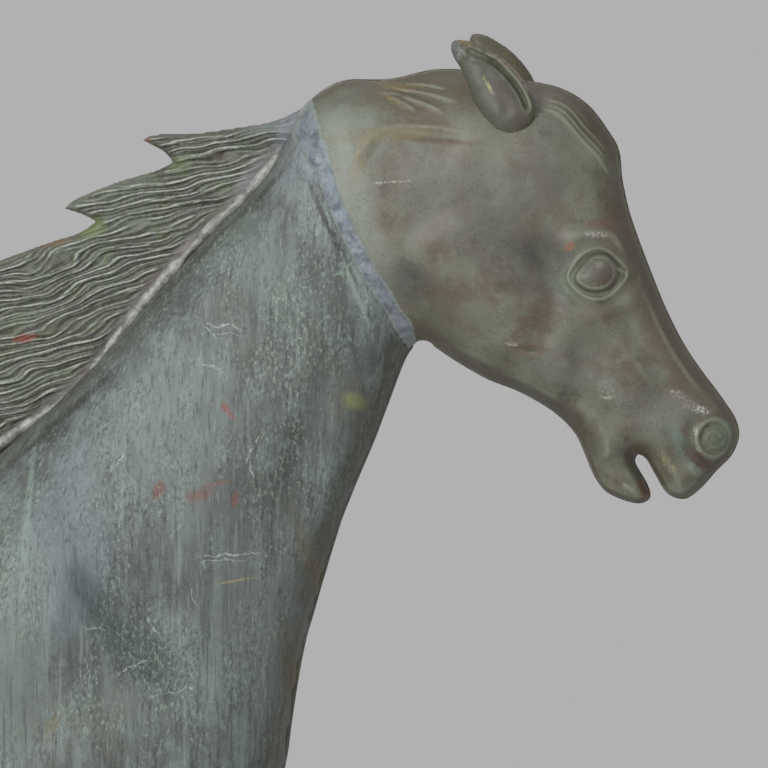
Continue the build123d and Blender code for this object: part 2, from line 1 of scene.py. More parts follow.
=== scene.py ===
"""Blender scene of a horse weather vane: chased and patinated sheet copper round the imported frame.

Lengths are in millimetres in the frame while a form is sculpted (x towards the nose, z up, y towards
the horse's left) and in metres once it is a mesh. Each half of the horse is a relief over the x-z plane,
as the real halves are stamped.
"""

import math

import bmesh
import bpy
import numpy as np
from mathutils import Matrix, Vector


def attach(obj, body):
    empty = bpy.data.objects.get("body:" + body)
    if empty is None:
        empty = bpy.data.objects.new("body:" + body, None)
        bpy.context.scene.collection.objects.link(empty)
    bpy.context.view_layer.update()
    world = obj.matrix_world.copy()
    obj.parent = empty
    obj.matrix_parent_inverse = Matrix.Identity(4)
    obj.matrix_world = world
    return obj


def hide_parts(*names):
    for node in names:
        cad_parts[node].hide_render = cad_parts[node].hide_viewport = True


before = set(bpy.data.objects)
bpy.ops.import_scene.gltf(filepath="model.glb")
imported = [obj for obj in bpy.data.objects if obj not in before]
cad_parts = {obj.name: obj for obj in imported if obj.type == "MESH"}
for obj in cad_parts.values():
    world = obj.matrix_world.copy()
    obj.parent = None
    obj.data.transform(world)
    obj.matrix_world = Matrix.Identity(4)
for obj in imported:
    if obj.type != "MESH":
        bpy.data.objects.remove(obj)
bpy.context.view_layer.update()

MM = 0.001
# The camera stands a little ahead of the horse's right side.
AZIMUTH, ELEVATION = math.radians(7.0), math.radians(2.5)
LEAN_X, LEAN_Z = math.sin(AZIMUTH), math.sin(ELEVATION)
SIDES = {"right": -1, "left": 1}
MARGIN = 5  # of a relief's window round its outline
EDGE_SHADE_WIDTH = 13.0  # how far in from an outline the patina is painted darker, as shade


# ---------------------------------------------------------------- lines and reliefs
def smooth_line(points, closed=False, steps=6):
    """Catmull-Rom curve through (x, z) points, as a polyline."""
    p = np.asarray(points, float)
    if closed:
        p = np.vstack([p[-1], p, p[:2]])
    else:
        p = np.vstack([2 * p[0] - p[1], p, 2 * p[-1] - p[-2]])
    t = np.linspace(0, 1, steps, endpoint=False)[:, None]
    spans = []
    for a, b, c, d in zip(p, p[1:], p[2:], p[3:]):
        bend = (2 * a - 5 * b + 4 * c - d) * t**2 + (3 * b - a - 3 * c + d) * t**3
        spans.append(0.5 * (2 * b + (c - a) * t + bend))
    line = np.vstack(spans)
    return line if closed else np.vstack([line, p[-2]])


def lengths(points):
    """How far along a polyline each of its points lies."""
    return np.concatenate([[0], np.cumsum(np.linalg.norm(np.diff(points, axis=0), axis=1))])


def line_distance(x, z, line):
    """Distance to a polyline, the share of its length at the nearest point, and the side (left is +1)."""
    starts = lengths(line)
    runs = np.diff(starts)
    best = np.full(np.broadcast(x, z).shape, 1e9)
    share, side = np.zeros_like(best), np.ones_like(best)
    for i, (a, b) in enumerate(zip(line, line[1:])):
        run = b - a
        t = np.clip(((x - a[0]) * run[0] + (z - a[1]) * run[1]) / max(run @ run, 1e-9), 0, 1)
        dx, dz = x - a[0] - t * run[0], z - a[1] - t * run[1]
        d = dx * dx + dz * dz
        nearer = d < best
        best = np.where(nearer, d, best)
        share = np.where(nearer, (starts[i] + t * runs[i]) / starts[-1], share)
        side = np.where(nearer, np.sign(run[0] * dz - run[1] * dx), side)
    return np.sqrt(best), share, side


def is_inside(x, z, loop):
    """True where a point lies inside a closed loop."""
    odd = np.zeros(np.broadcast(x, z).shape, bool)
    for a, b in zip(loop, np.roll(loop, -1, 0)):
        if a[1] != b[1]:
            at = (b[0] - a[0]) * (z - a[1]) / (b[1] - a[1]) + a[0]
            odd ^= ((a[1] > z) != (b[1] > z)) & (x < at)
    return odd


def rough(x, z, size, seed):
    """Smooth random heights from -1 to 1 with features of about this size."""
    table = np.random.default_rng(seed).uniform(-1, 1, (64, 64))
    u, v = x / size, z / size
    i, j = np.floor(u).astype(int), np.floor(v).astype(int)
    u, v = u - i, v - j
    u, v = u * u * (3 - 2 * u), v * v * (3 - 2 * v)
    i, j, i2, j2 = i % 64, j % 64, (i + 1) % 64, (j + 1) % 64
    near = table[i, j] * (1 - u) + table[i2, j] * u
    far = table[i, j2] * (1 - u) + table[i2, j2] * u
    return near * (1 - v) + far * v


def ease(t):
    """Smooth step from 0 to 1."""
    t = np.clip(t, 0, 1)
    return t * t * (3 - 2 * t)


def dome(t):
    """Quarter-round profile: 0 at the rim, 1 from t = 1 on."""
    return np.sqrt(np.maximum(1 - (1 - np.clip(t, 0, 1)) ** 2, 0))


def blob(x, z, centre, size, turn):
    """A bump of height 1 with these half sizes along and across, turned by an angle in degrees."""
    c, s = math.cos(math.radians(turn)), math.sin(math.radians(turn))
    dx, dz = x - centre[0], z - centre[1]
    return np.exp(-(((dx * c + dz * s) / size[0]) ** 2) - ((dz * c - dx * s) / size[1]) ** 2)


def crest(x, z, points, width, taper=0.2):
    """A ridge of height 1 along a smooth line, fading towards both ends."""
    d, share, _ = line_distance(x, z, smooth_line(points, steps=4))
    return np.exp(-((d / width) ** 2)) * ease(np.minimum(share, 1 - share) / taper)


def sculpted(x, z, ridges, bumps):
    """The sum of ridges (height, points, width, taper) and bumps (height, centre, half sizes, turn)."""
    return (sum(height * crest(x, z, *ridge) for height, *ridge in ridges)
            + sum(height * blob(x, z, *bump) for height, *bump in bumps))


def blur(a, passes):
    """The array smoothed by repeated small averaging."""
    for _ in range(passes):
        a = (np.roll(a, 1, 0) + 2 * a + np.roll(a, -1, 0)) / 4
        a = (np.roll(a, 1, 1) + 2 * a + np.roll(a, -1, 1)) / 4
    return a


class Relief:
    """A window of the x-z plane with a closed outline, sampled on a grid."""

    def __init__(self, outline, step, window=None):
        low, high = window or (outline.min(0) - MARGIN, outline.max(0) + MARGIN)
        low = np.asarray(low, float)
        self.step, self.low = step, low
        self.x = np.arange(low[0], high[0], step)[:, None] + np.zeros((1, 1))
        self.z = np.arange(low[1], high[1], step)[None, :] + np.zeros((1, 1))
        d, _, _ = line_distance(self.x, self.z, np.vstack([outline, outline[:1]]))
        self.depth = np.where(is_inside(self.x, self.z, outline), d, -d)

    def sample(self, values, x, z):
        """A grid's value at any points, by bilinear interpolation."""
        u = np.clip((x - self.low[0]) / self.step, 0, values.shape[0] - 1.001)
        v = np.clip((z - self.low[1]) / self.step, 0, values.shape[1] - 1.001)
        i, j = u.astype(int), v.astype(int)
        u, v = u - i, v - j
        near = values[i, j] * (1 - u) + values[i + 1, j] * u
        far = values[i, j + 1] * (1 - u) + values[i + 1, j + 1] * u
        return near * (1 - v) + far * v


def surface_nets(field, low, step):
    """Vertices and outward quads of the surface round the negative part of a sampled field."""
    solid = field < 0
    size = np.array(field.shape) - 1
    total = np.zeros((*size, 3), np.float32)
    count = np.zeros(tuple(size), np.float32)
    crossings = []
    for axis in range(3):
        one, two = [k for k in range(3) if k != axis]
        lower, upper = [slice(None)] * 3, [slice(None)] * 3
        lower[axis], upper[axis] = slice(None, -1), slice(1, None)
        a, b = field[tuple(lower)], field[tuple(upper)]
        crossing = solid[tuple(lower)] != solid[tuple(upper)]
        share = np.where(crossing, a / np.where(crossing, a - b, 1), 0)
        for p in (0, 1):
            for q in (0, 1):
                pick = [slice(None)] * 3
                pick[one], pick[two] = slice(p, size[one] + p), slice(q, size[two] + q)
                hit = crossing[tuple(pick)]
                count += hit
                total[..., axis] += share[tuple(pick)]
                total[..., one] += p * hit
                total[..., two] += q * hit
        at = np.argwhere(crossing)
        inner = (at[:, one] > 0) & (at[:, one] < size[one]) & (at[:, two] > 0) & (at[:, two] < size[two])
        crossings.append((axis, one, two, at[inner]))
    cells = count > 0
    index = np.full(cells.shape, -1)
    index[cells] = np.arange(cells.sum())
    verts = np.argwhere(cells) + total[cells] / count[cells][:, None]
    quads = []
    for axis, one, two, at in crossings:
        corners = []
        for p, q in ((1, 1), (0, 1), (0, 0), (1, 0)):
            cell = at.copy()
            cell[:, one] -= p
            cell[:, two] -= q
            corners.append(index[tuple(cell.T)])
        quad = np.stack(corners, 1)
        turned = solid[tuple(at.T)] == (axis == 1)
        quad[turned] = quad[turned][:, ::-1]
        quads.append(quad)
    return verts * step + np.asarray(low), np.vstack(quads)


# ---------------------------------------------------------------- meshes
def placed(name, data):
    """A new object of the scene that shows this data."""
    obj = bpy.data.objects.new(name, data)
    bpy.context.scene.collection.objects.link(obj)
    return obj


def new_piece(name, verts, faces, material, layers=None):
    """A mesh object from vertices in millimetres, riding on the vane. layers are values at its points."""
    mesh = bpy.data.meshes.new(name)
    mesh.from_pydata((np.asarray(verts) * MM).tolist(), [], [list(map(int, f)) for f in faces])
    mesh.update()
    mesh.shade_smooth()
    for key, values in (layers or {}).items():
        layer = mesh.attributes.new(key, "FLOAT", "POINT")
        layer.data.foreach_set("value", np.asarray(values, np.float32))
    obj = placed(name, mesh)
    mesh.materials.append(material)
    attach(obj, "vane")
    return obj


def subdivided(verts, faces):
    """The vertices and faces after one round of Catmull-Clark subdivision."""
    mesh = bpy.data.meshes.new("subdivided")
    mesh.from_pydata(verts.tolist(), [], faces.tolist())
    obj = placed("subdivided", mesh)
    obj.modifiers.new("finer", "SUBSURF").levels = 1
    graph = bpy.context.evaluated_depsgraph_get()
    result = bpy.data.meshes.new_from_object(obj.evaluated_get(graph))
    co = np.empty(len(result.vertices) * 3, np.float32)
    result.vertices.foreach_get("co", co)
    loops = np.empty(len(result.loops), np.int32)
    result.loops.foreach_get("vertex_index", loops)
    bpy.data.objects.remove(obj)
    for used in (mesh, result):
        bpy.data.meshes.remove(used)
    return co.reshape(-1, 3).astype(float), loops.reshape(-1, 4)


def outward(obj, fill=False):
    """Turns every face outwards, and fills each open rim with one flat face where fill is set."""
    bm = bmesh.new()
    bm.from_mesh(obj.data)
    if fill:
        bmesh.ops.holes_fill(bm, edges=[e for e in bm.edges if e.is_boundary], sides=0)
    bmesh.ops.recalc_face_normals(bm, faces=bm.faces)
    bm.to_mesh(obj.data)
    bm.free()


def thinned(values, every):
    """Every so many of a grid's values, as a slab that spreads along y."""
    return values[::every, ::every].astype(np.float32)[:, None, :]


def outline_field(relief, height, y, every):
    """Roughly the distance of each sample from the surface y = height, negative under it."""
    depth = np.maximum(relief.depth, 0.2)
    slope = np.where(depth < 2.5, height / (2 * depth), np.hypot(*np.gradient(height, relief.step)))
    under = (y - thinned(height, every)) / thinned(np.sqrt(1 + slope**2), every)
    return np.where(thinned(relief.depth, every) > 0, under, y - 2 * thinned(relief.depth, every))


def relief_mesh(relief, front, step, back=None, keep=None):
    """Vertices (x, height, z) and quads of the form between its front height and its back, in millimetres.
    With no back it lies on the plane of height 0, where it is left open. keep is positive inside."""
    every = round(step / relief.step)
    deep = 0 if back is None else float(back.max())
    low_y = -(math.ceil(deep / step) + 1.5) * step
    y = np.arange(low_y, float(front.max()) + 2 * step, step, dtype=np.float32)[None, :, None]
    rear = -y if back is None else outline_field(relief, back, -y, every)
    field = np.maximum(outline_field(relief, front, y, every), rear)
    if keep is not None:
        field = np.maximum(field, -thinned(keep, every))
    verts, quads = surface_nets(field, (relief.low[0], low_y, relief.low[1]), step)
    if back is None:
        flat = verts[:, 1] < 0.3 * step
        quads = quads[~flat[quads].all(1)]
        used = np.unique(quads)
        renumber = np.full(len(verts), -1)
        renumber[used] = np.arange(len(used))
        verts, quads = verts[used], renumber[quads]
    verts, quads = subdivided(verts, quads)
    x, z = verts[:, 0], verts[:, 2]
    slope = np.hypot(*np.gradient(blur(front, 1), relief.step))
    height, steep = relief.sample(front, x, z), relief.sample(slope, x, z)
    trust = ease((2.2 - steep) / 1.2) * ease((verts[:, 1] - 0.4 * height) / (0.2 * height + 1e-6))
    trust *= height > step
    if keep is not None:
        trust *= relief.sample(keep, x, z) > step
    verts[:, 1] += (height - verts[:, 1]) * trust
    return verts, quads, trust


def relief_halves(name, relief, front, step, material, keep=None, wear=None):
    """Right and left half shell of one relief, called NAME_right and NAME_left."""
    verts, quads, trust = relief_mesh(relief, front, step, keep=keep)
    wear = wear_of(relief, front) if wear is None else wear
    # rim is the painted shade towards the outline: 1 at the outline, fading inwards.
    rim = np.clip(1 - relief.depth / EDGE_SHADE_WIDTH, 0, 1)
    layers = {"wear": relief.sample(wear, verts[:, 0], verts[:, 2]) * trust,
              "rim": relief.sample(rim, verts[:, 0], verts[:, 2])}
    made = []
    for side_name, side in SIDES.items():
        faces = quads if side > 0 else quads[:, ::-1]
        obj = new_piece(f"{name}_{side_name}", verts * (1, side, 1), faces, material, layers)
        outward(obj, fill=True)
        obj.data.shade_smooth()
        made.append(obj)
    return made


def wear_of(relief, front, passes=6, gain=2.0):
    """Ridges above and grooves below the relief's own smoothed surface, about -1 to 1."""
    inside = np.maximum(front, 0)
    return np.clip((inside - blur(inside, passes)) * gain, -1, 1) * ease(relief.depth / 4)


def tube(name, points, radius, material, lumps, seed, around=14, rim=0.0):
    """A round bar of weld or solder along points (x, y, z), with an uneven radius and round ends."""
    p = np.asarray(points, float)
    ahead = np.roll(p, -1, 0) - np.roll(p, 1, 0)
    ahead[0], ahead[-1] = p[1] - p[0], p[-1] - p[-2]
    ahead /= np.linalg.norm(ahead, axis=1)[:, None]
    up = np.cross(ahead, (0, 1, 0))
    up /= np.linalg.norm(up, axis=1)[:, None]
    side = np.cross(up, ahead)
    along = lengths(p)
    r = radius * (1 + lumps * rough(along, along * 0 + seed, 5.0, seed))
    r = r * dome(np.minimum(along, along[-1] - along) / (2 * radius) + 0.02)
    turn = np.linspace(0, 2 * math.pi, around, endpoint=False)
    rings = p[:, None] + r[:, None, None] * (
        np.cos(turn)[None, :, None] * side[:, None] + np.sin(turn)[None, :, None] * up[:, None])
    # rim is how much of the outlines' painted shade the bar takes.
    layers = {"rim": np.full(len(p) * around, rim)}
    return new_piece(name, rings.reshape(-1, 3), ring_faces(len(p), around), material, layers)


def ring_faces(rings, around):
    """Quads between rings of points, and both end caps."""
    faces = []
    for i in range(rings - 1):
        a, b = i * around, (i + 1) * around
        for k in range(around):
            m = (k + 1) % around
            faces.append((a + k, a + m, b + m, b + k))
    faces.append(tuple(range(around))[::-1])
    faces.append(tuple((rings - 1) * around + k for k in range(around)))
    return faces


# ---------------------------------------------------------------- the horse's form
# Side view of trunk and neck: from the throat down the chest, along the belly, round the rump and
# along the back to the crest.
BODY_LINE = [
    (249.9, 931.0), (245.5, 924.3), (239.0, 907.5), (232.7, 890.7), (225.5, 873.9), (218.8, 857.1),
    (213.0, 838.6), (208.3, 822.6), (203.7, 806.7), (200.3, 789.9), (197.6, 772), (194.5, 752), (188, 731),
    (175, 706), (154, 684), (124, 666), (85, 656), (40, 652), (-10, 656), (-60, 662), (-110, 668),
    (-155, 671), (-198, 680), (-230, 701), (-250, 734), (-259, 768), (-255, 797), (-240, 820), (-212, 838),
    (-175, 850), (-130, 853), (-85, 847), (-40, 842), (2, 848), (34, 858), (60, 873), (84, 894), (107.5, 916),
    (136, 948), (162, 977), (182, 997), (193, 1013),
]
# The head: over the poll and down the face to the lips, then along the jaw to the throat.
HEAD_LINE = [
    (202.5, 1030.5), (212, 1038), (222, 1041.8), (240, 1042.2), (258.3, 1046.1), (277.2, 1045.3),
    (295, 1041.8), (311, 1038.4), (322.6, 1031.4), (330.5, 1021.5), (335.6, 1012.5), (337.2, 999.9),
    (340.0, 987.3), (344.2, 974.7), (353.7, 950.5), (361.6, 934.0), (370.0, 921.2), (380.3, 907.4),
    (385.2, 899.1), (386.0, 892.4), (383.0, 885.2), (376.6, 878.6), (370.0, 871.2), (363.4, 866.9),
    (356.2, 869.3), (351.2, 877.2), (347.4, 883.6), (344.0, 885.4), (342.6, 882.6), (344.6, 878.4),
    (348.0, 872.4), (348.9, 867.2), (344.4, 864.9), (336.4, 866.8), (329.6, 870.6), (324.7, 878.1),
    (321.3, 886.5), (316.9, 894.9), (308.0, 903.3), (294.0, 911.4), (281.0, 916.4), (267.5, 924.0),
    (255.8, 931.8),
]
# Half width and how far in from the outline the side becomes flat: (x, z, half width, roundness, reach).
FORM = [
    (-200, 765, 60, 76, 60), (-120, 760, 66, 88, 60), (-40, 750, 65, 88, 60), (30, 752, 63, 92, 60),
    (90, 765, 58, 92, 55), (140, 800, 49, 76, 45), (160, 850, 41, 62, 35), (183, 893, 34, 52, 30),
    (203, 935, 29.5, 46, 26), (220, 975, 28.5, 43, 22), (245, 1020, 28, 36, 16), (250, 985, 31, 46, 20),
    (280, 970, 32.5, 46, 20), (300, 1010, 30, 34, 18), (325, 1000, 27, 29, 16), (318, 960, 28, 30, 18),
    (298, 925, 27, 25, 14), (340, 925, 21.5, 21, 15), (322, 893, 18, 15, 13), (358, 905, 18, 17, 12),
    (374, 893, 16, 13, 11), (335, 874, 13, 9, 9), (361, 876, 14, 9, 9),
]
# The line where the head is soldered to the neck.
THROAT_LINE = [(199.5, 1036), (201.6, 1029.3), (204.5, 1018), (209.2, 1004.1), (216.3, 985.2),
               (226.8, 964.2), (237.3, 947.4), (249.9, 928.5), (254, 922)]
CREST_LINE = [(30, 852), (52, 869), (75.6, 888.5), (107.5, 911.2), (121.8, 929.5), (137.3, 949.2),
              (162.5, 977), (181.9, 995.4), (194, 1010.5)]

INNER_LID = [(317.2, 958.6), (320.3, 963.6), (324.5, 967.2), (329.5, 967.2), (333, 963.6),
             (333.4, 959.2), (330.2, 955.2), (325, 953.8), (320.3, 955.2)]
OUTER_LID = [(313.4, 958.3), (317, 965.4), (322.5, 970), (328.7, 970.8), (334.3, 967), (338.9, 961.2),
             (335.4, 955.2), (330.8, 951.2), (325.5, 949.8), (319.6, 951.6)]
NOSTRIL = (375.3, 892.2)


def signed_depth(x, z, loop):
    """Distance inside a closed smooth line, negative outside."""
    line = smooth_line(loop, closed=True, steps=4)
    d, _, _ = line_distance(x, z, np.vstack([line, line[:1]]))
    return np.where(is_inside(x, z, line), d, -d)


def form_height(relief):
    """The plain half thickness of trunk, neck and head, negative outside the outline."""
    x, z, d = relief.x, relief.z, relief.depth
    total, wide, around = 0, 0, 0
    for px, pz, half_width, roundness, reach in FORM:
        g = np.exp(-((x - px) ** 2 + (z - pz) ** 2) / (2 * (0.62 * reach) ** 2)) + 1e-12
        total, wide, around = total + g, wide + g * half_width, around + g * roundness
    wide, around = wide / total, around / total
    return np.where(d > 0, wide * dome(d / around), d)


def eye_relief(x, z):
    """Eyeball, two lids, the tear duct and the brow."""
    lid, rim = signed_depth(x, z, INNER_LID), signed_depth(x, z, OUTER_LID)
    ball = np.where(lid > 0, 4.6 * dome(lid / 7.0) - 1.1 * ease(lid / 0.9), 0)
    band = -0.3 * ease(np.minimum(-lid, rim) / 1.2) * (lid < 0) * (rim > 0)
    lids = 1.15 * np.exp(-((lid / 0.65) ** 2)) * (0.65 + 0.35 * ease((963 - z) / 8))
    lids += 0.55 * np.exp(-((rim / 0.7) ** 2)) * (0.35 + 0.65 * ease((z - 950 + 0.9 * (x - 318)) / 9))
    socket = -0.8 * np.exp(-(((rim + 3.0) / 2.2) ** 2)) * ease((962 - z) / 14 + 0.5)
    brow = 2.2 * crest(x, z, [(310, 968), (316, 975.5), (325, 978.5), (334, 975), (341, 965)], 4.0, 0.3)
    duct = 0.9 * crest(x, z, [(333.8, 962.4), (336.5, 961.6), (340, 959.4)], 0.8, 0.1)
    return ball + band + lids + socket + brow + duct


def nostril_relief(x, z):
    """A cup with a rolled rim and a small coil inside, and the crescent behind it."""
    dx, dz = x - NOSTRIL[0], z - NOSTRIL[1]
    r, angle = np.hypot(dx, dz / 1.04), np.degrees(np.arctan2(dz, dx)) % 360
    rim = 0.55 * np.exp(-(((r - 7.7) / 1.2) ** 2)) * (0.7 + 0.3 * rough(x, z, 4, 24))
    cup = -1.1 * ease((7.4 - r) / 1.8) + 0.2 * rough(x, z, 1.7, 23) * (r < 6.5)
    coil = 0.4 * np.exp(-(((r - 2.4 - angle / 190) / 0.6) ** 2)) * ease((5.6 - r) / 1.5)
    behind = np.exp(-(((angle - 222) / 66) ** 2))
    crescent = 1.0 * np.exp(-(((r - 15.5) / 2.4) ** 2)) - 1.7 * np.exp(-(((r - 10.9) / 1.9) ** 2))
    return rim + cup + coil + behind * crescent


HEAD_RIDGES = [
    (1.6, [(316, 943), (330, 936), (343, 922), (352, 909)], 4.5, 0.35),  # facial ridge
    (1.3, [(346, 957), (354, 938), (364, 921), (374, 908)], 3.2, 0.25),  # edge of the nose
    (1.0, [(262, 934), (283, 922), (304, 911), (319, 899)], 3.2, 0.25),  # jaw
    (-1.2, [(288, 931), (304, 922), (320, 909), (331, 899)], 5.0, 0.3),  # hollow above the jaw
    (0.8, [(342, 893), (350, 890.5), (356.5, 883), (363, 872)], 3.2),  # upper lip
    (-0.9, [(351, 899), (357, 894), (362, 884), (366, 876)], 3.4, 0.35),  # groove above it
    (0.8, [(336, 886), (340.5, 880), (344, 872), (344.5, 867)], 2.6),  # lower lip
    (-0.7, [(330, 886), (334, 879), (338, 871)], 2.6),  # groove under it
    (0.6, [(335, 899), (341, 897), (347, 897.5)], 2.6, 0.4),  # fold above the mouth's corner
    (0.4, [(224, 1003), (227.5, 1011), (237.3, 1020.9), (254, 1021.5), (275, 1018)], 1.7),  # line by the ears
    (-0.45, [(227, 1000), (231, 1008.5), (240, 1017.3), (256, 1018), (274, 1015)], 1.8),
]
HEAD_BUMPS = [
    (-2.4, (297, 972), (20, 8), -38), (-1.6, (340, 938), (17, 5.5), -58),  # hollows beside the facial ridge
    (-1.0, (318, 990), (13, 8), -30), (0.8, (327, 998), (8, 10), 0),  # temple
    (-0.8, (297, 928.5), (6, 1.4), -8), (0.5, (353, 896), (6, 5), 0),  # dents
]
# The strands of hair behind the ears, from root to tip.
POLL_FAN = [((233, 1038), (250, 1035)), ((234, 1036), (253, 1031)), ((236, 1034.5), (252, 1027)),
            ((239, 1040), (266, 1036)), ((240, 1037.5), (272, 1030)), ((242, 1034), (264, 1026))]


def poll_relief(x, z):
    """Forelock and the locks behind the ears."""
    lock_edge = smooth_line([(302, 1028.5), (310.3, 1025.4), (319.4, 1015.5), (326.5, 1008),
                             (335, 996.5), (340, 990)])
    d, _, side = line_distance(x, z, lock_edge)
    lock = 1.1 * ease((d * side + 1.2) / 2.4) * ease((x - 301) / 9) * ease((z - 994) / 5)
    lock += 0.5 * np.exp(-((d / 1.3) ** 2)) * ease((x - 300) / 8) * ease((z - 994) / 5)
    strands = 0.8 * np.cos(d * side * 2.4 + 1.6 * rough(x, z, 9, 3)) * (0.75 + 0.25 * rough(x, z, 5, 4))
    lock += strands * ease((d * side - 1.0) / 2) * ease((x - 304) / 8) * ease((z - 991) / 4)
    for start, end in POLL_FAN:
        middle = ((start[0] + end[0]) / 2, (start[1] + end[1]) / 2 + 1.2)
        lock = lock + 0.75 * crest(x, z, [start, middle, end], 1.0, 0.3)
    return lock


NECK_RIDGES = [
    (-5.5, [(106, 852), (115.5, 832), (129, 812), (147, 796), (170, 782)], 9.0, 0.35),  # before the shoulder
    (2.0, [(217, 854), (211.6, 836), (206.4, 812.5)], 1.2, 0.1),  # lips of the seam at the chest
    (1.8, [(201.4, 808), (197, 786), (194.4, 762), (190, 742)], 1.2, 0.15),
    (-2.4, [(231, 950), (214, 915), (199, 876), (184, 832)], 8, 0.3),  # hollow behind the windpipe
    (1.2, [(234, 930), (220, 890), (208, 856), (197, 812)], 6, 0.25),  # windpipe
    (1.5, [(184, 975), (160, 945), (135, 915), (108, 888)], 9, 0.3),  # roll under the mane
    (-2.5, [(60, 735), (72, 712), (92, 694)], 8, 0.3),  # elbow
    (-4.0, [(-92, 812), (-104, 770), (-98, 722), (-84, 690)], 12, 0.3),  # flank
    *((0.35, [(34 - i, 800), (29 - i, 755), (32 - i, 705)], 4.5, 0.4) for i in range(0, 114, 19)),  # ribs
]
NECK_BUMPS = [
    (5.5, (98, 832), (30, 46), -22), (3.0, (120, 742), (40, 34), 0),  # shoulder
    (3.5, (172, 762), (22, 36), 12),  # breast
    (5.0, (-172, 776), (48, 52), 0), (2.0, (-20, 748), (60, 60), 0),  # haunch and barrel
]


def neck_relief(x, z):
    """Muscles of neck and trunk, and the sheet's own unevenness."""
    dents = 0.55 * rough(x, z, 34, 11) + 0.28 * rough(x, z, 13, 12)
    return sculpted(x, z, NECK_RIDGES, NECK_BUMPS) + dents


def horse_relief(step, window, features):
    """The horse's outline and heights in one window, with features laid on the plain form, and the
    distance from the throat seam, positive on the head's side. Features lie where the camera's
    azimuth and elevation show them."""
    relief = Relief(smooth_line(BODY_LINE + HEAD_LINE, closed=True, steps=4), step, window)
    height = form_height(relief)
    out = np.maximum(height, 0)
    seen_x, seen_z = relief.x - out * LEAN_X, relief.z - out * LEAN_Z
    inside = relief.depth > -2
    laid = np.zeros_like(height)
    laid[inside] = features(seen_x[inside], seen_z[inside])
    height = np.where(relief.depth > 0, height + laid * ease(relief.depth / 7), height)
    d, _, side = line_distance(seen_x, seen_z, smooth_line(THROAT_LINE))
    return relief, height, d * side


def head_features(x, z):
    """Everything modelled on the head, in millimetres of height."""
    r = np.hypot(x - 273, (z - 954) / 1.06)
    cheek = 1.5 * ease((34 - r) / 11) - 0.8 * np.exp(-(((r - 35) / 5) ** 2)) * ease((x - 262) / 20)
    small = 0.14 * rough(x, z, 9, 21) + 0.05 * rough(x, z, 3.1, 22)
    eye = np.zeros_like(x)
    near = np.hypot(x - 326, z - 961) < 40
    eye[near] = eye_relief(x[near], z[near])
    plain = sculpted(x, z, HEAD_RIDGES, HEAD_BUMPS)
    return plain + cheek + poll_relief(x, z) + nostril_relief(x, z) + eye + small


# Windows (low, high) of the two reliefs, and for each the spacing of its grid and of its mesh.
HEAD_WINDOW, HEAD_GRID, HEAD_MESH = ((190, 850), (394, 1056)), 0.6, 1.2
BODY_WINDOW, BODY_GRID, BODY_MESH = ((-266, 644), (262, 1046)), 0.8, 2.4
OVERLAP = 0.4  # of head and body past the throat seam, under the solder band
SEAM_SINK = 0.95  # how deep the solder of the centre seams lies in the outline


def make_head_and_body(copper, head_copper, solder):
    """Head and body shells, the solder band between them and the solder along the centre seams."""
    relief, height, past_seam = horse_relief(HEAD_GRID, HEAD_WINDOW, head_features)
    head = relief_halves("head", relief, height, HEAD_MESH, head_copper, keep=past_seam + OVERLAP)
    dress_sides(head, "head_{}_shell")

    waist = ease((relief.z - 926) / 16)
    ragged = rough(relief.x, relief.z, 9, 31) + 0.5 * rough(relief.x, relief.z, 3.4, 34)
    band_width = 2.7 + 1.3 * waist + 0.45 * ragged + 3.0 * ease((relief.z - 996) / 24)
    off_seam = past_seam - 1.7 * waist * ease((1022 - relief.z) / 20)
    across = np.clip(off_seam / band_width, -1, 1)
    lumps = 0.3 * rough(relief.x, relief.z, 3.5, 32) + 0.16 * rough(relief.x, relief.z, 1.6, 33)
    raised = height + np.where(relief.depth > 0, 0.05 + (0.6 + lumps) * (1 - across**2), 0)
    band = relief_halves("band", relief, raised, HEAD_MESH, solder,
                         keep=band_width - np.abs(off_seam), wear=1 - np.abs(across))
    dress(joined("throat_solder", band), "throat_solder_bead")

    relief, height, past_seam = horse_relief(BODY_GRID, BODY_WINDOW, neck_relief)
    body = relief_halves("body", relief, height, BODY_MESH, copper, keep=OVERLAP - past_seam)
    dress_sides(body, "body_{}_shell")

    for name, line, radius, material in (("body_seam_solder", BODY_LINE[:-4], 1.3, copper),
                                         ("head_seam_solder", HEAD_LINE, 1.1, head_copper)):
        line = smooth_line(line, steps=5)
        ahead = np.gradient(line, axis=0)
        inward = SEAM_SINK * ahead[:, ::-1] / np.hypot(*ahead.T)[:, None] * (1, -1)
        line = line + inward
        path = np.stack([line[:, 0], 0 * line[:, 0], line[:, 1]], 1)
        # The centre seams take the outlines' full painted shade, which also tints their solder olive.
        dress(tube(name, path, radius, material, lumps=0.06, seed=len(path), rim=1.0))


def dress(piece, node=None):
    """Hides the CAD node that a piece stands for."""
    if node:
        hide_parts(node)


def dress_sides(pieces, node):
    """Dresses a right and a left piece; node is the name of the CAD node with {} for the side."""
    for piece, side_name in zip(pieces, SIDES):
        dress(piece, node.format(side_name))


def joined(name, pieces):
    """Several meshes made into one piece."""
    bm = bmesh.new()
    for piece in pieces:
        bm.from_mesh(piece.data)
    mesh = bpy.data.meshes.new(name)
    bm.to_mesh(mesh)
    bm.free()
    mesh.shade_smooth()
    mesh.materials.append(pieces[0].data.materials[0])
    for piece in pieces:
        bpy.data.objects.remove(piece)
    obj = placed(name, mesh)
    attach(obj, "vane")
    return obj


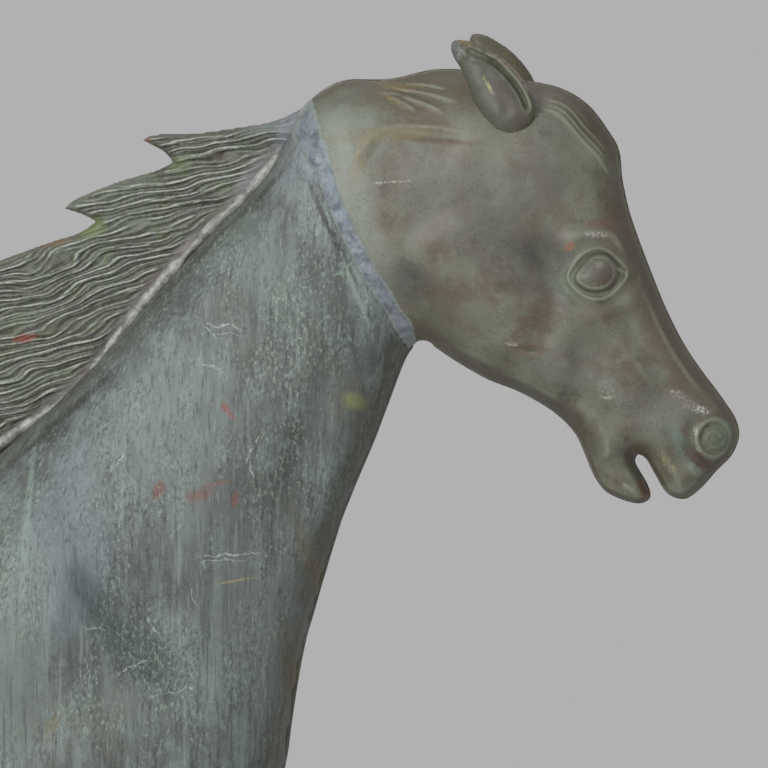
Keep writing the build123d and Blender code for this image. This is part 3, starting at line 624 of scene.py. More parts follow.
# ---------------------------------------------------------------- the mane
# Each lock's edge runs smoothly from a tip to a notch or from a notch to a tip.
MANE_LOCKS = [
    [(8, 856), (-12, 862), (-34, 872)],
    [(-34, 872), (-20, 877.5), (-8, 886)],
    [(-8, 886), (-16, 897), (-30, 907)],
    [(-30, 907), (-12, 910), (8, 915), (20, 926)],
    [(20, 926), (15, 935), (6, 943)],
    [(6, 943), (22, 947), (42, 954), (75.6, 966.7), (96, 974), (107, 977.4), (114.4, 982.2)],
    [(114.4, 982.2), (109, 985), (100.6, 987.6)],
    [(100.6, 987.6), (107.1, 992.4), (126, 999.8), (139, 1003.4), (147.4, 1007.2)],
    [(147.4, 1007.2), (143.4, 1011.6), (134.6, 1016.4)],
    [(134.6, 1016.4), (139, 1018.9), (157.5, 1019.6), (176.4, 1022.2), (189, 1024.4), (199, 1028.4),
     (207, 1033.5)],
    [(207, 1033.5), (205, 1012), (176, 979), (132, 931), (88, 886), (46, 852), (8, 856)],
]


MANE_PITCH, TAIL_PITCH = 4.1, 3.9  # from one chased strand to the next
BEAD_RADIUS, BEAD_OUT = 2.1, 7.0  # the solder at the mane's foot and its distance from the centre plane


def mane_height(relief):
    """Half thickness of the mane: chased strands that sweep back from the crest and wave."""
    x, z = relief.x, relief.z
    slope = 0.30 - 0.24 * ease((z - 958) / 55)
    wave = 3.8 * rough(x, z, 46, 41) + 2.2 * rough(x, z, 19, 42) + 0.7 * rough(x, z * 1.5, 8, 48)
    over, _, side = line_distance(x, z, smooth_line(CREST_LINE, steps=4))
    over = over * side
    sweep = 5.0 * np.exp(-np.maximum(over, 0) / 11)
    across = z - slope * (x - 150) + wave - sweep
    phase = across / MANE_PITCH + 0.55 * rough(x, z * 2.4, 17, 43)
    number = np.floor(phase + 0.5)
    off = phase - number
    uneven = 0.5 + 0.5 * np.sin(number * 2.4 + 0.3 + 2.2 * rough(x, z, 28, 49))
    strand = np.exp(-((off / (0.15 + 0.09 * uneven)) ** 2))
    fine = np.abs(np.cos(math.pi * (phase * 2.3 + 0.6 * rough(x, z * 3, 11, 45)))) ** 1.5
    lock = np.abs(np.cos(math.pi * (phase / 4.6 + 0.35 * rough(x, z, 30, 44)))) ** 0.5
    broken = 0.72 + 0.28 * rough(x * 0.5, z * 2, 9, 46)
    cut = 1.8 * strand * (0.35 + 0.65 * uneven) * broken + 0.65 * fine + 1.0 * lock
    cut = cut * ease((over - 2.5) / 5) + 0.25 * rough(x, z, 2.6, 47)
    plain = (5.6 + 1.6 * ease(1 - over / 40)) * dome(relief.depth / 5.5)
    return chased(relief, plain, (cut - 1.7) * ease(relief.depth / 2.2))


def chased(relief, plain, cut):
    """The height of a plain form with strands cut into it, no thinner than half a millimetre."""
    return np.where(relief.depth > 0, np.maximum(plain + cut, 0.5), relief.depth)


def make_hair(name, locks, grid, height_of, step, copper, node):
    """The two chased sheets or shells, back to back, inside an outline of locks."""
    relief = Relief(np.vstack([smooth_line(lock, steps=5)[:-1] for lock in locks]), grid)
    height = height_of(relief)
    wear = wear_of(relief, height, passes=5, gain=1.4)
    halves = relief_halves(name, relief, height, step, copper, wear=wear)
    dress_sides(halves, node)


def make_mane(copper, solder):
    """The two chased mane sheets and the solder along their foot."""
    make_hair("mane", MANE_LOCKS, 0.45, mane_height, 0.9, copper, "mane_{}_sheet")
    line = smooth_line(CREST_LINE, steps=8)
    beads = []
    for side in SIDES.values():
        path = np.stack([line[:, 0] - 0.3, side * (BEAD_OUT + 0 * line[:, 0]), line[:, 1] + 0.3], 1)
        beads.append(tube(f"bead{side}", path, BEAD_RADIUS, solder, lumps=0.42, seed=5 + side))
    dress(joined("mane_solder", beads), "mane_solder_beads")


# ---------------------------------------------------------------- ears, tail and legs
EAR_LINE = [(264.6, 1055.4), (266.6, 1058.3), (271.0, 1058.2), (277.4, 1056), (284, 1052.6),
            (290.6, 1047.2), (296.4, 1040), (300, 1032.5), (299.6, 1025.8), (296, 1020.6),
            (289.6, 1018), (283.4, 1019.9), (278.6, 1025.2), (275.2, 1031.5), (272.3, 1038.5),
            (269, 1046), (265.9, 1051)]
EAR_ROOT = (291, 1021)
EAR_OUT = 24.5  # from the centre plane to the middle of an ear's root
EAR_TURNS = {"right": 0, "left": 9}  # degrees: the left ear stands a little more upright
EAR_RIM = [(269, 1056.8), (277, 1054.2), (284, 1050.4), (290.2, 1044.8), (295.4, 1038), (298.2, 1031.4),
           (297.6, 1026.2)]


def ear_height(relief):
    """The ear's outer face: a full back, a rolled front rim and the deep fold between them."""
    x, z, d = relief.x, relief.z, relief.depth
    thick = 3.4 + 2.8 * ease((1050 - z) / 26)
    d_rim, share, _ = line_distance(x, z, smooth_line(EAR_RIM))
    fade = ease(np.minimum(share, 1 - share) / 0.12)
    fold = smooth_line([(px - 1.9, pz - 1.6) for px, pz in EAR_RIM[:-1]])
    d_fold, _, _ = line_distance(x, z, fold)
    cut = 0.8 * np.exp(-((d_rim / 1.1) ** 2)) * fade
    cut -= 1.7 * np.exp(-((d_fold / 1.1) ** 2)) * fade * ease(share / 0.5)
    cut += 0.25 * rough(x, z, 4, 51) + 0.5 * rough(x, z, 2.2, 52) * ease((z - 1046) / 6)
    return np.where(d > 0, np.maximum(thick * dome(d / 9) + cut * ease(d / 2), 0.4), d)


def make_ears(copper):
    """Two ears of sheet copper."""
    relief = Relief(smooth_line(EAR_LINE, closed=True, steps=5), 0.4)
    front = ear_height(relief)
    back = np.where(relief.depth > 0, 4.5 * dome(relief.depth / 7), relief.depth)
    verts, quads, trust = relief_mesh(relief, front, 0.8, back=back)
    layers = {"wear": relief.sample(wear_of(relief, front), verts[:, 0], verts[:, 2]) * trust}
    for side_name, side in SIDES.items():
        out = EAR_OUT + verts[:, 1] - 2.0 * (verts[:, 2] - EAR_ROOT[1]) / 40
        turn = math.radians(EAR_TURNS[side_name])
        c, s = math.cos(turn), math.sin(turn)
        dx, dz = verts[:, 0] - EAR_ROOT[0], verts[:, 2] - EAR_ROOT[1]
        shift = out * LEAN_X * (side < 0)
        co = np.stack([EAR_ROOT[0] + dx * c + dz * s + shift, side * out, EAR_ROOT[1] + dz * c - dx * s], 1)
        ear = new_piece(f"{side_name}_ear_shell", co, quads if side > 0 else quads[:, ::-1], copper, layers)
        dress(ear, f"{side_name}_ear")


TAIL_LINE = [
    [(-234, 812), (-246, 829), (-268, 841), (-296, 845), (-330, 831), (-360, 803), (-384, 763),
     (-396, 716), (-398, 676), (-395, 640), (-397, 618)],
    [(-397, 618), (-388, 634), (-383, 648)],
    [(-383, 648), (-378, 640), (-379, 629)],
    [(-379, 629), (-370, 644), (-364, 664)],
    [(-364, 664), (-357, 660), (-354, 652)],
    [(-354, 652), (-348, 676), (-342, 706), (-330, 742), (-316, 772), (-298, 794), (-276, 801),
     (-252, 797), (-236, 788), (-234, 812)],
]
TAIL_MIDDLE = [(-225, 800), (-262, 820), (-294, 822), (-324, 804), (-348, 770), (-364, 726),
               (-374, 682), (-382, 640), (-386, 600)]


def tail_height(relief):
    """Half thickness of the flowing tail, with strands chased along it."""
    x, z = relief.x, relief.z
    d, share, side = line_distance(x, z, smooth_line(TAIL_MIDDLE))
    across = d * side * (1 + 0.25 * share) + 2.2 * rough(x, z, 34, 61)
    phase = across / TAIL_PITCH + 0.4 * rough(x, z, 21, 62)
    strand = np.abs(np.cos(math.pi * phase)) ** 0.7
    lock = np.abs(np.cos(math.pi * (phase / 3.4 + 0.4 * rough(x, z, 40, 63)))) ** 0.5
    thick = 13.5 - 7.5 * ease((share - 0.45) / 0.5)
    cut = (1.2 * strand + 1.6 * lock - 2.2) * ease(share / 0.12)
    return chased(relief, thick * dome(relief.depth / 17), cut * ease(relief.depth / 3))


BAR_TOP = 430.0
# Legs: centre (x, z), half depth fore and aft, half width, from inside the trunk to the sole.
LEGS = {
    "right_foreleg": [
        (92, 735, 36, 25), (97, 700, 29, 24), (102, 660, 19, 18.5), (105, 622, 14, 13.5),
        (106, 592, 11.6, 11.6), (105, 574, 12.6, 12), (103, 556, 9.4, 9), (102, 530, 7.4, 7),
        (102, 502, 7.6, 7.2), (103, 484, 9.6, 9), (106, 472, 9.4, 8.8), (112, 458, 7.8, 7.8),
        (116.5, 448, 11.4, 11), (119, 439, 14, 12.6), (122, 424, 17, 14.5),
    ],
    "left_foreleg": [
        (100, 735, 36, 25), (119, 702, 28, 23), (141, 676, 19, 18), (167, 654, 14, 13.5),
        (184, 640, 12, 11.8), (188, 625, 12.6, 12), (186.5, 606, 9.4, 9), (181, 583, 7.4, 7),
        (174, 560, 7.6, 7.2), (168, 544, 9.6, 9), (160, 535.5, 9.2, 8.8), (148, 529.5, 7.8, 7.8),
        (139.5, 524.5, 11.4, 11), (133, 519, 14, 12.6), (124, 512, 17, 14.5),
    ],
    "right_hindleg": [
        (-176, 760, 56, 32), (-160, 716, 49, 30), (-144, 674, 37, 25), (-140, 638, 25, 18),
        (-145, 606, 17, 13.5), (-152, 584, 14.4, 12.2), (-148, 566, 13.6, 11.4), (-134, 546, 9.8, 9),
        (-119, 528, 8.2, 7.8), (-105, 510, 8.4, 8), (-96, 498, 10.2, 9.4), (-90, 488, 9.6, 9),
        (-83, 476, 8.2, 8), (-78, 467, 11.4, 11), (-74, 461, 14, 12.6), (-68, 452, 17, 14.5),
    ],
    "left_hindleg": [
        (-180, 760, 56, 32), (-178, 716, 49, 30), (-186, 670, 36, 25), (-202, 632, 25, 18),
        (-222, 602, 17, 13.5), (-234, 583, 14.4, 12.2), (-237, 565, 13.6, 11.4), (-239, 542, 9.8, 9),
        (-240, 520, 8.2, 7.8), (-242, 496, 8.4, 8), (-243, 482, 10.2, 9.4), (-240, 470, 9.6, 9),
        (-234, 458, 8.2, 8), (-230, 448, 11.4, 11), (-227, 439, 14, 12.6), (-223, 424, 17, 14.5),
    ],
}
PLANTED = ("right_foreleg", "left_hindleg")
LEG_AROUND, LEG_STEPS = 40, 9
LEG_HALF = LEG_AROUND // 2
FOOT_SPREAD, HIP_SPREAD, LEG_HEIGHT = 8, 20, 310  # a leg's distance from the centre plane, growing upwards


def leg_rings(stations, side, planted):
    """Rings of points round a leg: each is an oval, fuller behind than in front, flattened inside."""
    line = smooth_line([s[:2] for s in stations], steps=LEG_STEPS)
    sizes = smooth_line([s[2:] for s in stations], steps=LEG_STEPS)
    ahead = np.gradient(line, axis=0)
    ahead /= np.hypot(*ahead.T)[:, None]
    along = lengths(line)
    turn = np.linspace(0, 2 * math.pi, LEG_AROUND, endpoint=False)
    c, s = np.cos(turn), np.sin(turn)
    tendon = 0.10 * np.exp(-(((along - 0.62 * along[-1]) / (0.16 * along[-1])) ** 2))
    shape = 1 - tendon[:, None] * np.abs(np.sin(2 * turn))[None, :]
    bumps = 1 + 0.02 * rough(along[:, None], np.degrees(turn)[None, :] / 8, 9, 71)
    coronet = along[-1] - along[:, None] - 15.5
    swell = 1 + 0.075 * np.exp(-((coronet / 1.5) ** 2)) - 0.05 * np.exp(-(((coronet + 3) / 1.3) ** 2))
    fore = sizes[:, :1] * c * shape * bumps * swell
    wide = sizes[:, 1:] * s * shape * bumps * swell
    x = line[:, :1] - fore * ahead[:, 1:]
    z = line[:, 1:] + fore * ahead[:, :1]
    if planted:
        z = np.maximum(z, BAR_TOP)
    middle = side * (FOOT_SPREAD + HIP_SPREAD * (line[:, 1:] - BAR_TOP) / LEG_HEIGHT)
    return np.stack([x, middle + wide * side, z], 2)


def make_legs(copper):
    """Eight half shells: each leg has an outer and an inner one that meet fore and aft."""
    for name, stations in LEGS.items():
        rings = leg_rings(stations, SIDES[name.split("_")[0]], name in PLANTED)
        half = LEG_HALF + 1
        edges = []
        for shell, first in (("outer", 0), ("inner", LEG_HALF)):
            co = rings[:, np.arange(first, first + half) % LEG_AROUND].reshape(-1, 3)
            piece = new_piece(f"{name}_{shell}", co, ring_faces(len(rings), half), copper)
            outward(piece)
            piece.data.set_sharp_from_angle(angle=math.radians(50))
            dress(piece, f"{name}_{shell}_shell")
        for place in (0, LEG_HALF):
            edges.append(tube(f"{name}_edge{place}", rings[6:-2:3, place], 0.7, copper, around=8,
                              lumps=0.3, seed=place + 80))
        dress(joined(f"{name}_seam_solder", edges))


# ---------------------------------------------------------------- materials
LIT = 0.72  # how dark a surface is beside its colour in full studio light


def linear(rgb):
    """The linear reflectance of a surface that looks this sRGB colour, from 0 to 255, in studio light."""
    parts = [c / 255 for c in rgb]
    return (*[LIT * (c / 12.92 if c <= 0.04045 else ((c + 0.055) / 1.055) ** 2.4) for c in parts], 1)


class Look:
    """A procedural material, built up from layers of colour over a ground colour.
    stands_out is how far the surface lies from the centre plane, in millimetres, where its marks are."""

    def __init__(self, name, ground, stands_out=0.0):
        self.material = bpy.data.materials.new(name)
        self.material.use_nodes = True
        self.tree = self.material.node_tree
        self.tree.nodes.clear()
        self.place = self.node("ShaderNodeTexCoord").outputs["Object"]
        self.lean = (stands_out * LEAN_X, stands_out * LEAN_Z)
        self.right = self.bent = None
        self.colour = linear(ground)

    def node(self, kind, inputs=None, **settings):
        made = self.tree.nodes.new(kind)
        for key, value in settings.items():
            setattr(made, key, value)
        for key, value in (inputs or {}).items():
            socket = made.inputs[key]
            if isinstance(value, bpy.types.NodeSocket):
                self.tree.links.new(value, socket)
            else:
                socket.default_value = value
        return made

    def math(self, operation, a, b, clamp=False):
        return self.node("ShaderNodeMath", {0: a, 1: b}, operation=operation, use_clamp=clamp).outputs[0]

    def vector(self, operation, inputs):
        return self.node("ShaderNodeVectorMath", inputs, operation=operation).outputs[0]

    def uneven(self, value, gain, least):
        """A roughness that rises from least with a value."""
        return self.math("ADD", self.both(value, gain), least)

    def noise(self, size, stretch=(1, 1, 1), detail=5.0, coarse=0.6, shift=0.0, turn=0.0):
        """Noise with features of about this size in millimetres, drawn out by these factors."""
        at = self.node("ShaderNodeMapping", {
            "Vector": self.place, "Location": (shift, shift, shift), "Scale": stretch,
            "Rotation": (0, math.radians(turn), 0)}, vector_type="TEXTURE").outputs[0]
        return self.node("ShaderNodeTexNoise", {
            "Vector": at, "Scale": 1 / (size * MM), "Detail": detail, "Roughness": coarse}).outputs[0]

    def ramp(self, value, low, high, top=1.0):
        """Rises smoothly from 0 at low to top at high, or falls where high is less than low."""
        return self.node("ShaderNodeMapRange", {
            "Value": value, "From Min": low, "From Max": high, "To Min": 0.0, "To Max": top},
            interpolation_type="SMOOTHSTEP").outputs[0]

    def both(self, a, b):
        return self.math("MULTIPLY", a, b)

    def lay(self, rgb, amount):
        """A layer of colour over what is there; amount is its cover."""
        inputs = {0: amount, 6: self.colour, 7: linear(rgb)}
        self.colour = self.node("ShaderNodeMix", inputs, data_type="RGBA").outputs[2]

    def coat(self, rgb, *rise):
        """A layer of colour where a value rises; see ramp."""
        self.lay(rgb, self.ramp(*rise))

    def mark(self, rgb, cover, *place, mask=None, **edge):
        """A patch of colour on the right side; see spot."""
        patch = self.spot(*place, **edge)
        if mask:
            patch = self.both(patch, mask)
        self.lay(rgb, self.both(patch, cover))

    def layer(self, name):
        """A value of the mesh at each point: wear, or rim for the painted shade towards the outlines."""
        return self.node("ShaderNodeAttribute", attribute_name=name).outputs["Fac"]

    def wandering(self):
        """The object's own coordinates, pushed about a little, so that straight marks wander."""
        if self.bent is None:
            push = self.node("ShaderNodeTexNoise", {"Vector": self.place, "Scale": 130.0, "Detail": 3.0})
            push = self.vector("SUBTRACT", {0: push.outputs["Color"], 1: (0.5, 0.5, 0.5)})
            push = self.vector("SCALE", {0: push, "Scale": 0.008})
            self.bent = self.vector("ADD", {0: self.place, 1: push})
        return self.bent

    def spot(self, centre, size, turn, jag, jag_size, soft=0.5, wander=False):
        """A patch on the right side: centre (x, z) and half sizes in millimetres, turn in degrees, how ragged
        its edge is and the size of the rags in millimetres."""
        at = self.node("ShaderNodeMapping", {
            "Vector": self.wandering() if wander else self.place,
            "Location": ((centre[0] + self.lean[0]) * MM, 0, (centre[1] + self.lean[1]) * MM),
            "Rotation": (0, math.radians(-turn), 0),
            "Scale": (size[0] * MM, 1e6, size[1] * MM)}, vector_type="TEXTURE").outputs[0]
        away = self.node("ShaderNodeVectorMath", {0: at}, operation="LENGTH").outputs["Value"]
        rag = self.math("SUBTRACT", self.noise(jag_size, detail=6), 0.5)
        away = self.math("ADD", away, self.both(rag, jag))
        if self.right is None:
            y = self.node("ShaderNodeSeparateXYZ", {0: self.place}).outputs[1]
            self.right = self.math("LESS_THAN", y, 0.0)
        return self.both(self.ramp(away, 1 + soft, 1 - soft), self.right)

    def finish(self, roughness, heights, metallic=0.0, specular=0.5):
        """The shader. heights is a list of (height 0 to 1, depth in millimetres)."""
        shader = self.node("ShaderNodeBsdfPrincipled", {
            "Base Color": self.colour, "Roughness": roughness, "Metallic": metallic,
            "Specular IOR Level": specular})
        normal = None
        for height, depth in heights:
            inputs = {"Height": height, "Distance": depth * MM, "Strength": 1.0}
            if normal:
                inputs["Normal"] = normal
            normal = self.node("ShaderNodeBump", inputs).outputs[0]
        if normal:
            self.tree.links.new(normal, shader.inputs["Normal"])
        self.node("ShaderNodeOutputMaterial", {0: shader.outputs[0]})
        return self.material


# Marks on the neck's right side, painted highlight and painted shade among them: centre, half sizes, turn,
# colour, cover.
NECK_PATCHES = [
    # (104, 858) and (113, 832), pale blue-grey on the shoulder's bulge, are painted highlight.
    ((104, 858), (16, 30), -20, (138, 150, 154), 0.55), ((82, 800), (14, 60), 0, (134, 147, 140), 0.6),
    ((113, 832), (10, 24), -25, (136, 150, 158), 0.45), ((150, 905), (26, 30), 40, (138, 150, 148), 0.55),
    ((140, 880), (24, 34), 20, (130, 141, 138), 0.5), ((186, 960), (13, 30), 38, (124, 138, 130), 0.5),
    ((203, 990), (6, 26), 20, (150, 160, 162), 0.5), ((215, 905), (12, 36), 22, (97, 99, 92), 0.5),
    ((196, 850), (10, 46), 16, (98, 100, 94), 0.45), ((186, 812), (15, 40), 10, (124, 131, 129), 0.55),
    ((122, 776), (34, 10), 8, (132, 141, 132), 0.35), ((196, 778), (5, 40), 3, (94, 96, 88), 0.5),
    ((176, 935), (9, 26), 34, (104, 104, 96), 0.5), ((130, 820), (12, 30), -30, (92, 98, 96), 0.4),
    ((88, 856), (1.6, 34), 0, (150, 172, 160), 0.55), ((83, 905), (5, 8), 0, (120, 128, 118), 0.4),
    ((227.6, 924), (6.5, 7), 0, (82, 84, 82), 0.65), ((222.6, 906.2), (4.6, 3.4), -15, (138, 141, 92), 0.8),
    ((213.6, 977), (21, 1.3), -64, (66, 68, 64), 0.9), ((224, 951), (15, 0.9), -70, (156, 166, 156), 0.7),
    ((212, 955), (6, 20), 22, (96, 98, 92), 0.5), ((208, 930), (7, 12), 22, (92, 92, 86), 0.4),
    ((170.1, 903.6), (2.6, 1.3), -55, (158, 74, 60), 0.62),
    ((172.5, 900.5), (2.2, 1.0), -40, (158, 74, 60), 0.52),
    ((143, 869.7), (2.2, 3.6), -30, (156, 72, 58), 0.52),
    ((159.6, 867.6), (5.4, 2.4), 15, (148, 80, 66), 0.47),
    ((174.3, 865.5), (2.8, 1.6), 80, (152, 76, 62), 0.47), ((167, 872.5), (6, 1.1), 12, (150, 84, 70), 0.37),
    ((101, 773), (5, 2.2), 60, (130, 116, 78), 0.45), ((174.3, 831.9), (7, 0.5), 10, (168, 160, 104), 0.7),
    # (138, 800) and (116, 826), dark green along the groove before the shoulder, are painted shade.
    ((138, 800), (26, 8), -40, (76, 92, 86), 0.6), ((116, 826), (15, 5), -58, (74, 90, 86), 0.55),
    ((203, 1013), (7, 14), 25, (158, 164, 170), 0.8), ((192, 1000), (8, 5), 45, (142, 150, 152), 0.5),
    ((207, 826), (2.6, 28), 16, (122, 112, 78), 0.6), ((196, 775), (2.6, 32), 6, (110, 100, 72), 0.6),
    # The three dark lines along the crest are painted shadow under the mane's solder.
    ((102, 901), (32, 1.5), 42, (56, 59, 57), 0.7), ((150, 960), (34, 1.4), 47, (56, 59, 57), 0.75),
    ((182, 992), (16, 1.3), 46, (56, 59, 57), 0.6),
]
# Scratches down to pale metal: centre, half length, half width, turn.
NECK_SCRATCHES = [
    ((166, 937.4), 9.0, 0.35, -6), ((169.5, 934.6), 8.5, 0.3, -1), ((162, 935), 3.5, 0.28, -28),
    ((164, 921.4), 6.4, 0.35, -24), ((166, 919), 5.8, 0.3, -34), ((161, 922), 2.6, 0.3, 10),
    ((180, 884), 3.2, 0.45, 74), ((180.6, 877), 3.2, 0.5, 88), ((183.2, 890), 2.6, 0.35, 60),
    ((172.6, 842.6), 13, 0.28, 2), ((170, 840.2), 10, 0.25, 3), ((150, 853), 5, 0.25, 60),
    ((120, 896), 4, 0.3, 40), ((127, 884), 5, 0.3, 70), ((205, 872), 3, 0.25, 80), ((142, 812), 5, 0.3, -50),
    ((158, 826), 6, 0.25, -70), ((132, 796), 7, 0.25, 20), ((118, 812), 5, 0.3, -20),
    ((150, 786), 8, 0.25, 8),
]
HEAD_PATCHES = [
    ((222, 1024), (13, 15), 20, (146, 155, 144), 0.8), ((219, 1000), (9, 28), 24, (150, 157, 146), 0.75),
    ((233, 966), (8, 24), 30, (138, 144, 130), 0.65), ((246, 1036.5), (34, 8.5), 2, (94, 84, 56), 0.75),
    ((240, 1018), (24, 3.4), 4, (140, 130, 96), 0.6), ((227, 1008), (2.6, 11), -18, (146, 136, 104), 0.6),
    ((262, 1004), (24, 6), -4, (122, 119, 110), 0.5), ((262, 1015), (14, 1.2), -3, (96, 62, 48), 0.6),
    ((306, 1012), (12, 16), -20, (116, 119, 112), 0.4), ((318, 1004), (8, 14), 30, (110, 112, 88), 0.5),
    ((298, 988), (22, 18), 0, (118, 119, 108), 0.45), ((290, 965), (20, 10), -30, (90, 88, 82), 0.5),
    ((303, 969), (12, 7), -20, (76, 73, 70), 0.65), ((313, 956), (7, 6), -20, (116, 128, 112), 0.55),
    ((337, 982), (8, 13), -30, (106, 84, 72), 0.6), ((345, 950), (6, 20), 28, (104, 88, 74), 0.4),
    ((328, 1020), (17, 8), -48, (88, 78, 56), 0.75), ((322, 1010), (8, 3), -50, (132, 140, 120), 0.5),
    ((358, 928), (8, 22), 32, (112, 98, 84), 0.45), ((312, 922), (16, 10), -10, (116, 118, 110), 0.4),
    ((348, 902), (14, 9), -20, (118, 118, 112), 0.45), ((296, 929), (7, 2.0), -10, (124, 96, 74), 0.5),
    # (280, 915) and (315, 896), dark along the underside of the jaw, are painted shade.
    ((265, 940), (20, 9), -20, (108, 110, 92), 0.5), ((280, 915), (32, 5), -22, (72, 68, 56), 0.6),
    ((315, 896), (6, 15), 40, (72, 66, 56), 0.6), ((262, 990), (18, 16), 0, (110, 112, 102), 0.45),
    ((247, 957), (8, 9), 0, (80, 82, 78), 0.65),
]
# Rubbed, stained and scuffed places, and painted highlights, laid over everything else on the head.
HEAD_MARKS = [
    ((326.3, 960.8), (6.4, 5.4), 0, (108, 108, 97), 0.8), ((329, 958.6), (4, 3.6), 0, (100, 82, 72), 0.6),
    ((314.3, 971.6), (2.2, 1.9), 20, (176, 114, 84), 0.85),
    # The pale streak on the brow and the pale spot on the eyeball below are painted highlights.
    ((325.2, 976.6), (4.4, 1.1), 0, (204, 198, 190), 0.75),
    ((326.6, 964), (1.5, 1.2), 0, (150, 149, 141), 0.6), ((328, 980.5), (8, 2.6), 0, (120, 92, 80), 0.45),
    ((328.9, 912.5), (3.2, 4.0), 20, (156, 158, 150), 0.5),
    ((328.9, 908.8), (2.4, 0.8), 0, (205, 205, 190), 0.75),
    # These three pale marks along the nose are painted highlights.
    ((357.4, 911.3), (1.9, 0.5), 0, (205, 208, 200), 0.8),
    ((362.5, 906.8), (8, 2.2), -34, (152, 154, 148), 0.55),
    ((368.3, 903.7), (3.4, 1.2), -14, (212, 212, 206), 0.85),
    ((365.9, 895), (1, 1.8), 0, (200, 200, 194), 0.8), ((354.1, 881.5), (5, 1.7), -57, (162, 156, 112), 0.65),
    ((366.2, 886.9), (1.8, 0.9), 0, (180, 175, 140), 0.7),
    ((360.5, 888), (11, 2.6), -62, (118, 138, 128), 0.6), ((344.8, 870.4), (3.2, 5), 12, (130, 98, 78), 0.6),
    ((339, 877.2), (2.0, 5.4), 22, (130, 136, 118), 0.4), ((341.4, 885), (2.4, 2), 0, (160, 132, 104), 0.5),
    ((383.6, 899), (3.4, 8), 10, (112, 78, 66), 0.65), ((375.8, 892.2), (6.6, 6.2), 0, (106, 119, 101), 0.65),
    ((366.5, 883.5), (3, 8), 50, (84, 66, 56), 0.75), ((290.6, 931), (2.2, 0.7), -10, (200, 196, 180), 0.75),
    ((240.7, 998.2), (7, 0.4), 4, (198, 204, 194), 0.75), ((243, 1037.6), (11, 1.6), -8, (162, 138, 88), 0.6),
    ((240, 1032), (7, 1.2), -28, (160, 136, 88), 0.55), ((248, 1033.6), (9, 0.7), -18, (74, 64, 44), 0.6),
    ((250, 1036.6), (10, 0.6), -10, (74, 64, 44), 0.6), ((222, 1034), (8, 2), 30, (100, 104, 92), 0.5),
]
HEAD_SPECKLES = [
    ((341, 908), (17, 8), 8), ((353.5, 880), (5, 6), 20), ((262, 1006), (16, 6), 0), ((236, 930), (8, 10), 0),
]
EAR_PATCHES = [
    ((284, 1034), (10, 16), 30, (84, 87, 80), 0.7), ((275, 1044), (8, 6), -50, (98, 104, 92), 0.5),
    ((290, 1030), (3, 10), 30, (84, 74, 62), 0.5),
]
EAR_MARKS = [
    ((266.6, 1054), (3, 5), 20, (112, 117, 118), 0.7),
    ((270.5, 1056.4), (2.6, 1.5), -10, (152, 128, 72), 0.7),
    ((280.6, 1038), (4.0, 0.8), -62, (192, 188, 126), 0.8),
    ((268.5, 1051), (2.2, 1), 60, (176, 180, 178), 0.5),
    # These two pinkish lines along the front rim are painted highlight.
    ((285.5, 1048.6), (5.5, 0.9), -36, (172, 152, 148), 0.65),
    ((294, 1040.4), (6.5, 0.9), -54, (178, 156, 154), 0.7),
]


HAIR_PATCHES = [
    ((84, 932.7), (5, 1.6), 8, (160, 84, 68), 0.7), ((136, 1016.5), (2, 1.6), 0, (150, 96, 84), 0.6),
    ((112, 979), (6, 4), 20, (122, 140, 88), 0.7), ((150, 1006), (5, 4), 20, (118, 132, 92), 0.6),
    ((96, 973), (7, 1.6), 12, (132, 92, 62), 0.5), ((190, 1024), (12, 4), 20, (128, 138, 136), 0.6),
    ((98, 906), (34, 3.2), 43, (146, 142, 138), 0.75), ((146, 962), (36, 3.4), 48, (148, 143, 140), 0.8),
    ((184, 1002), (16, 5), 47, (158, 156, 158), 0.8), ((199, 1019), (9, 7), 50, (150, 156, 166), 0.7),
]


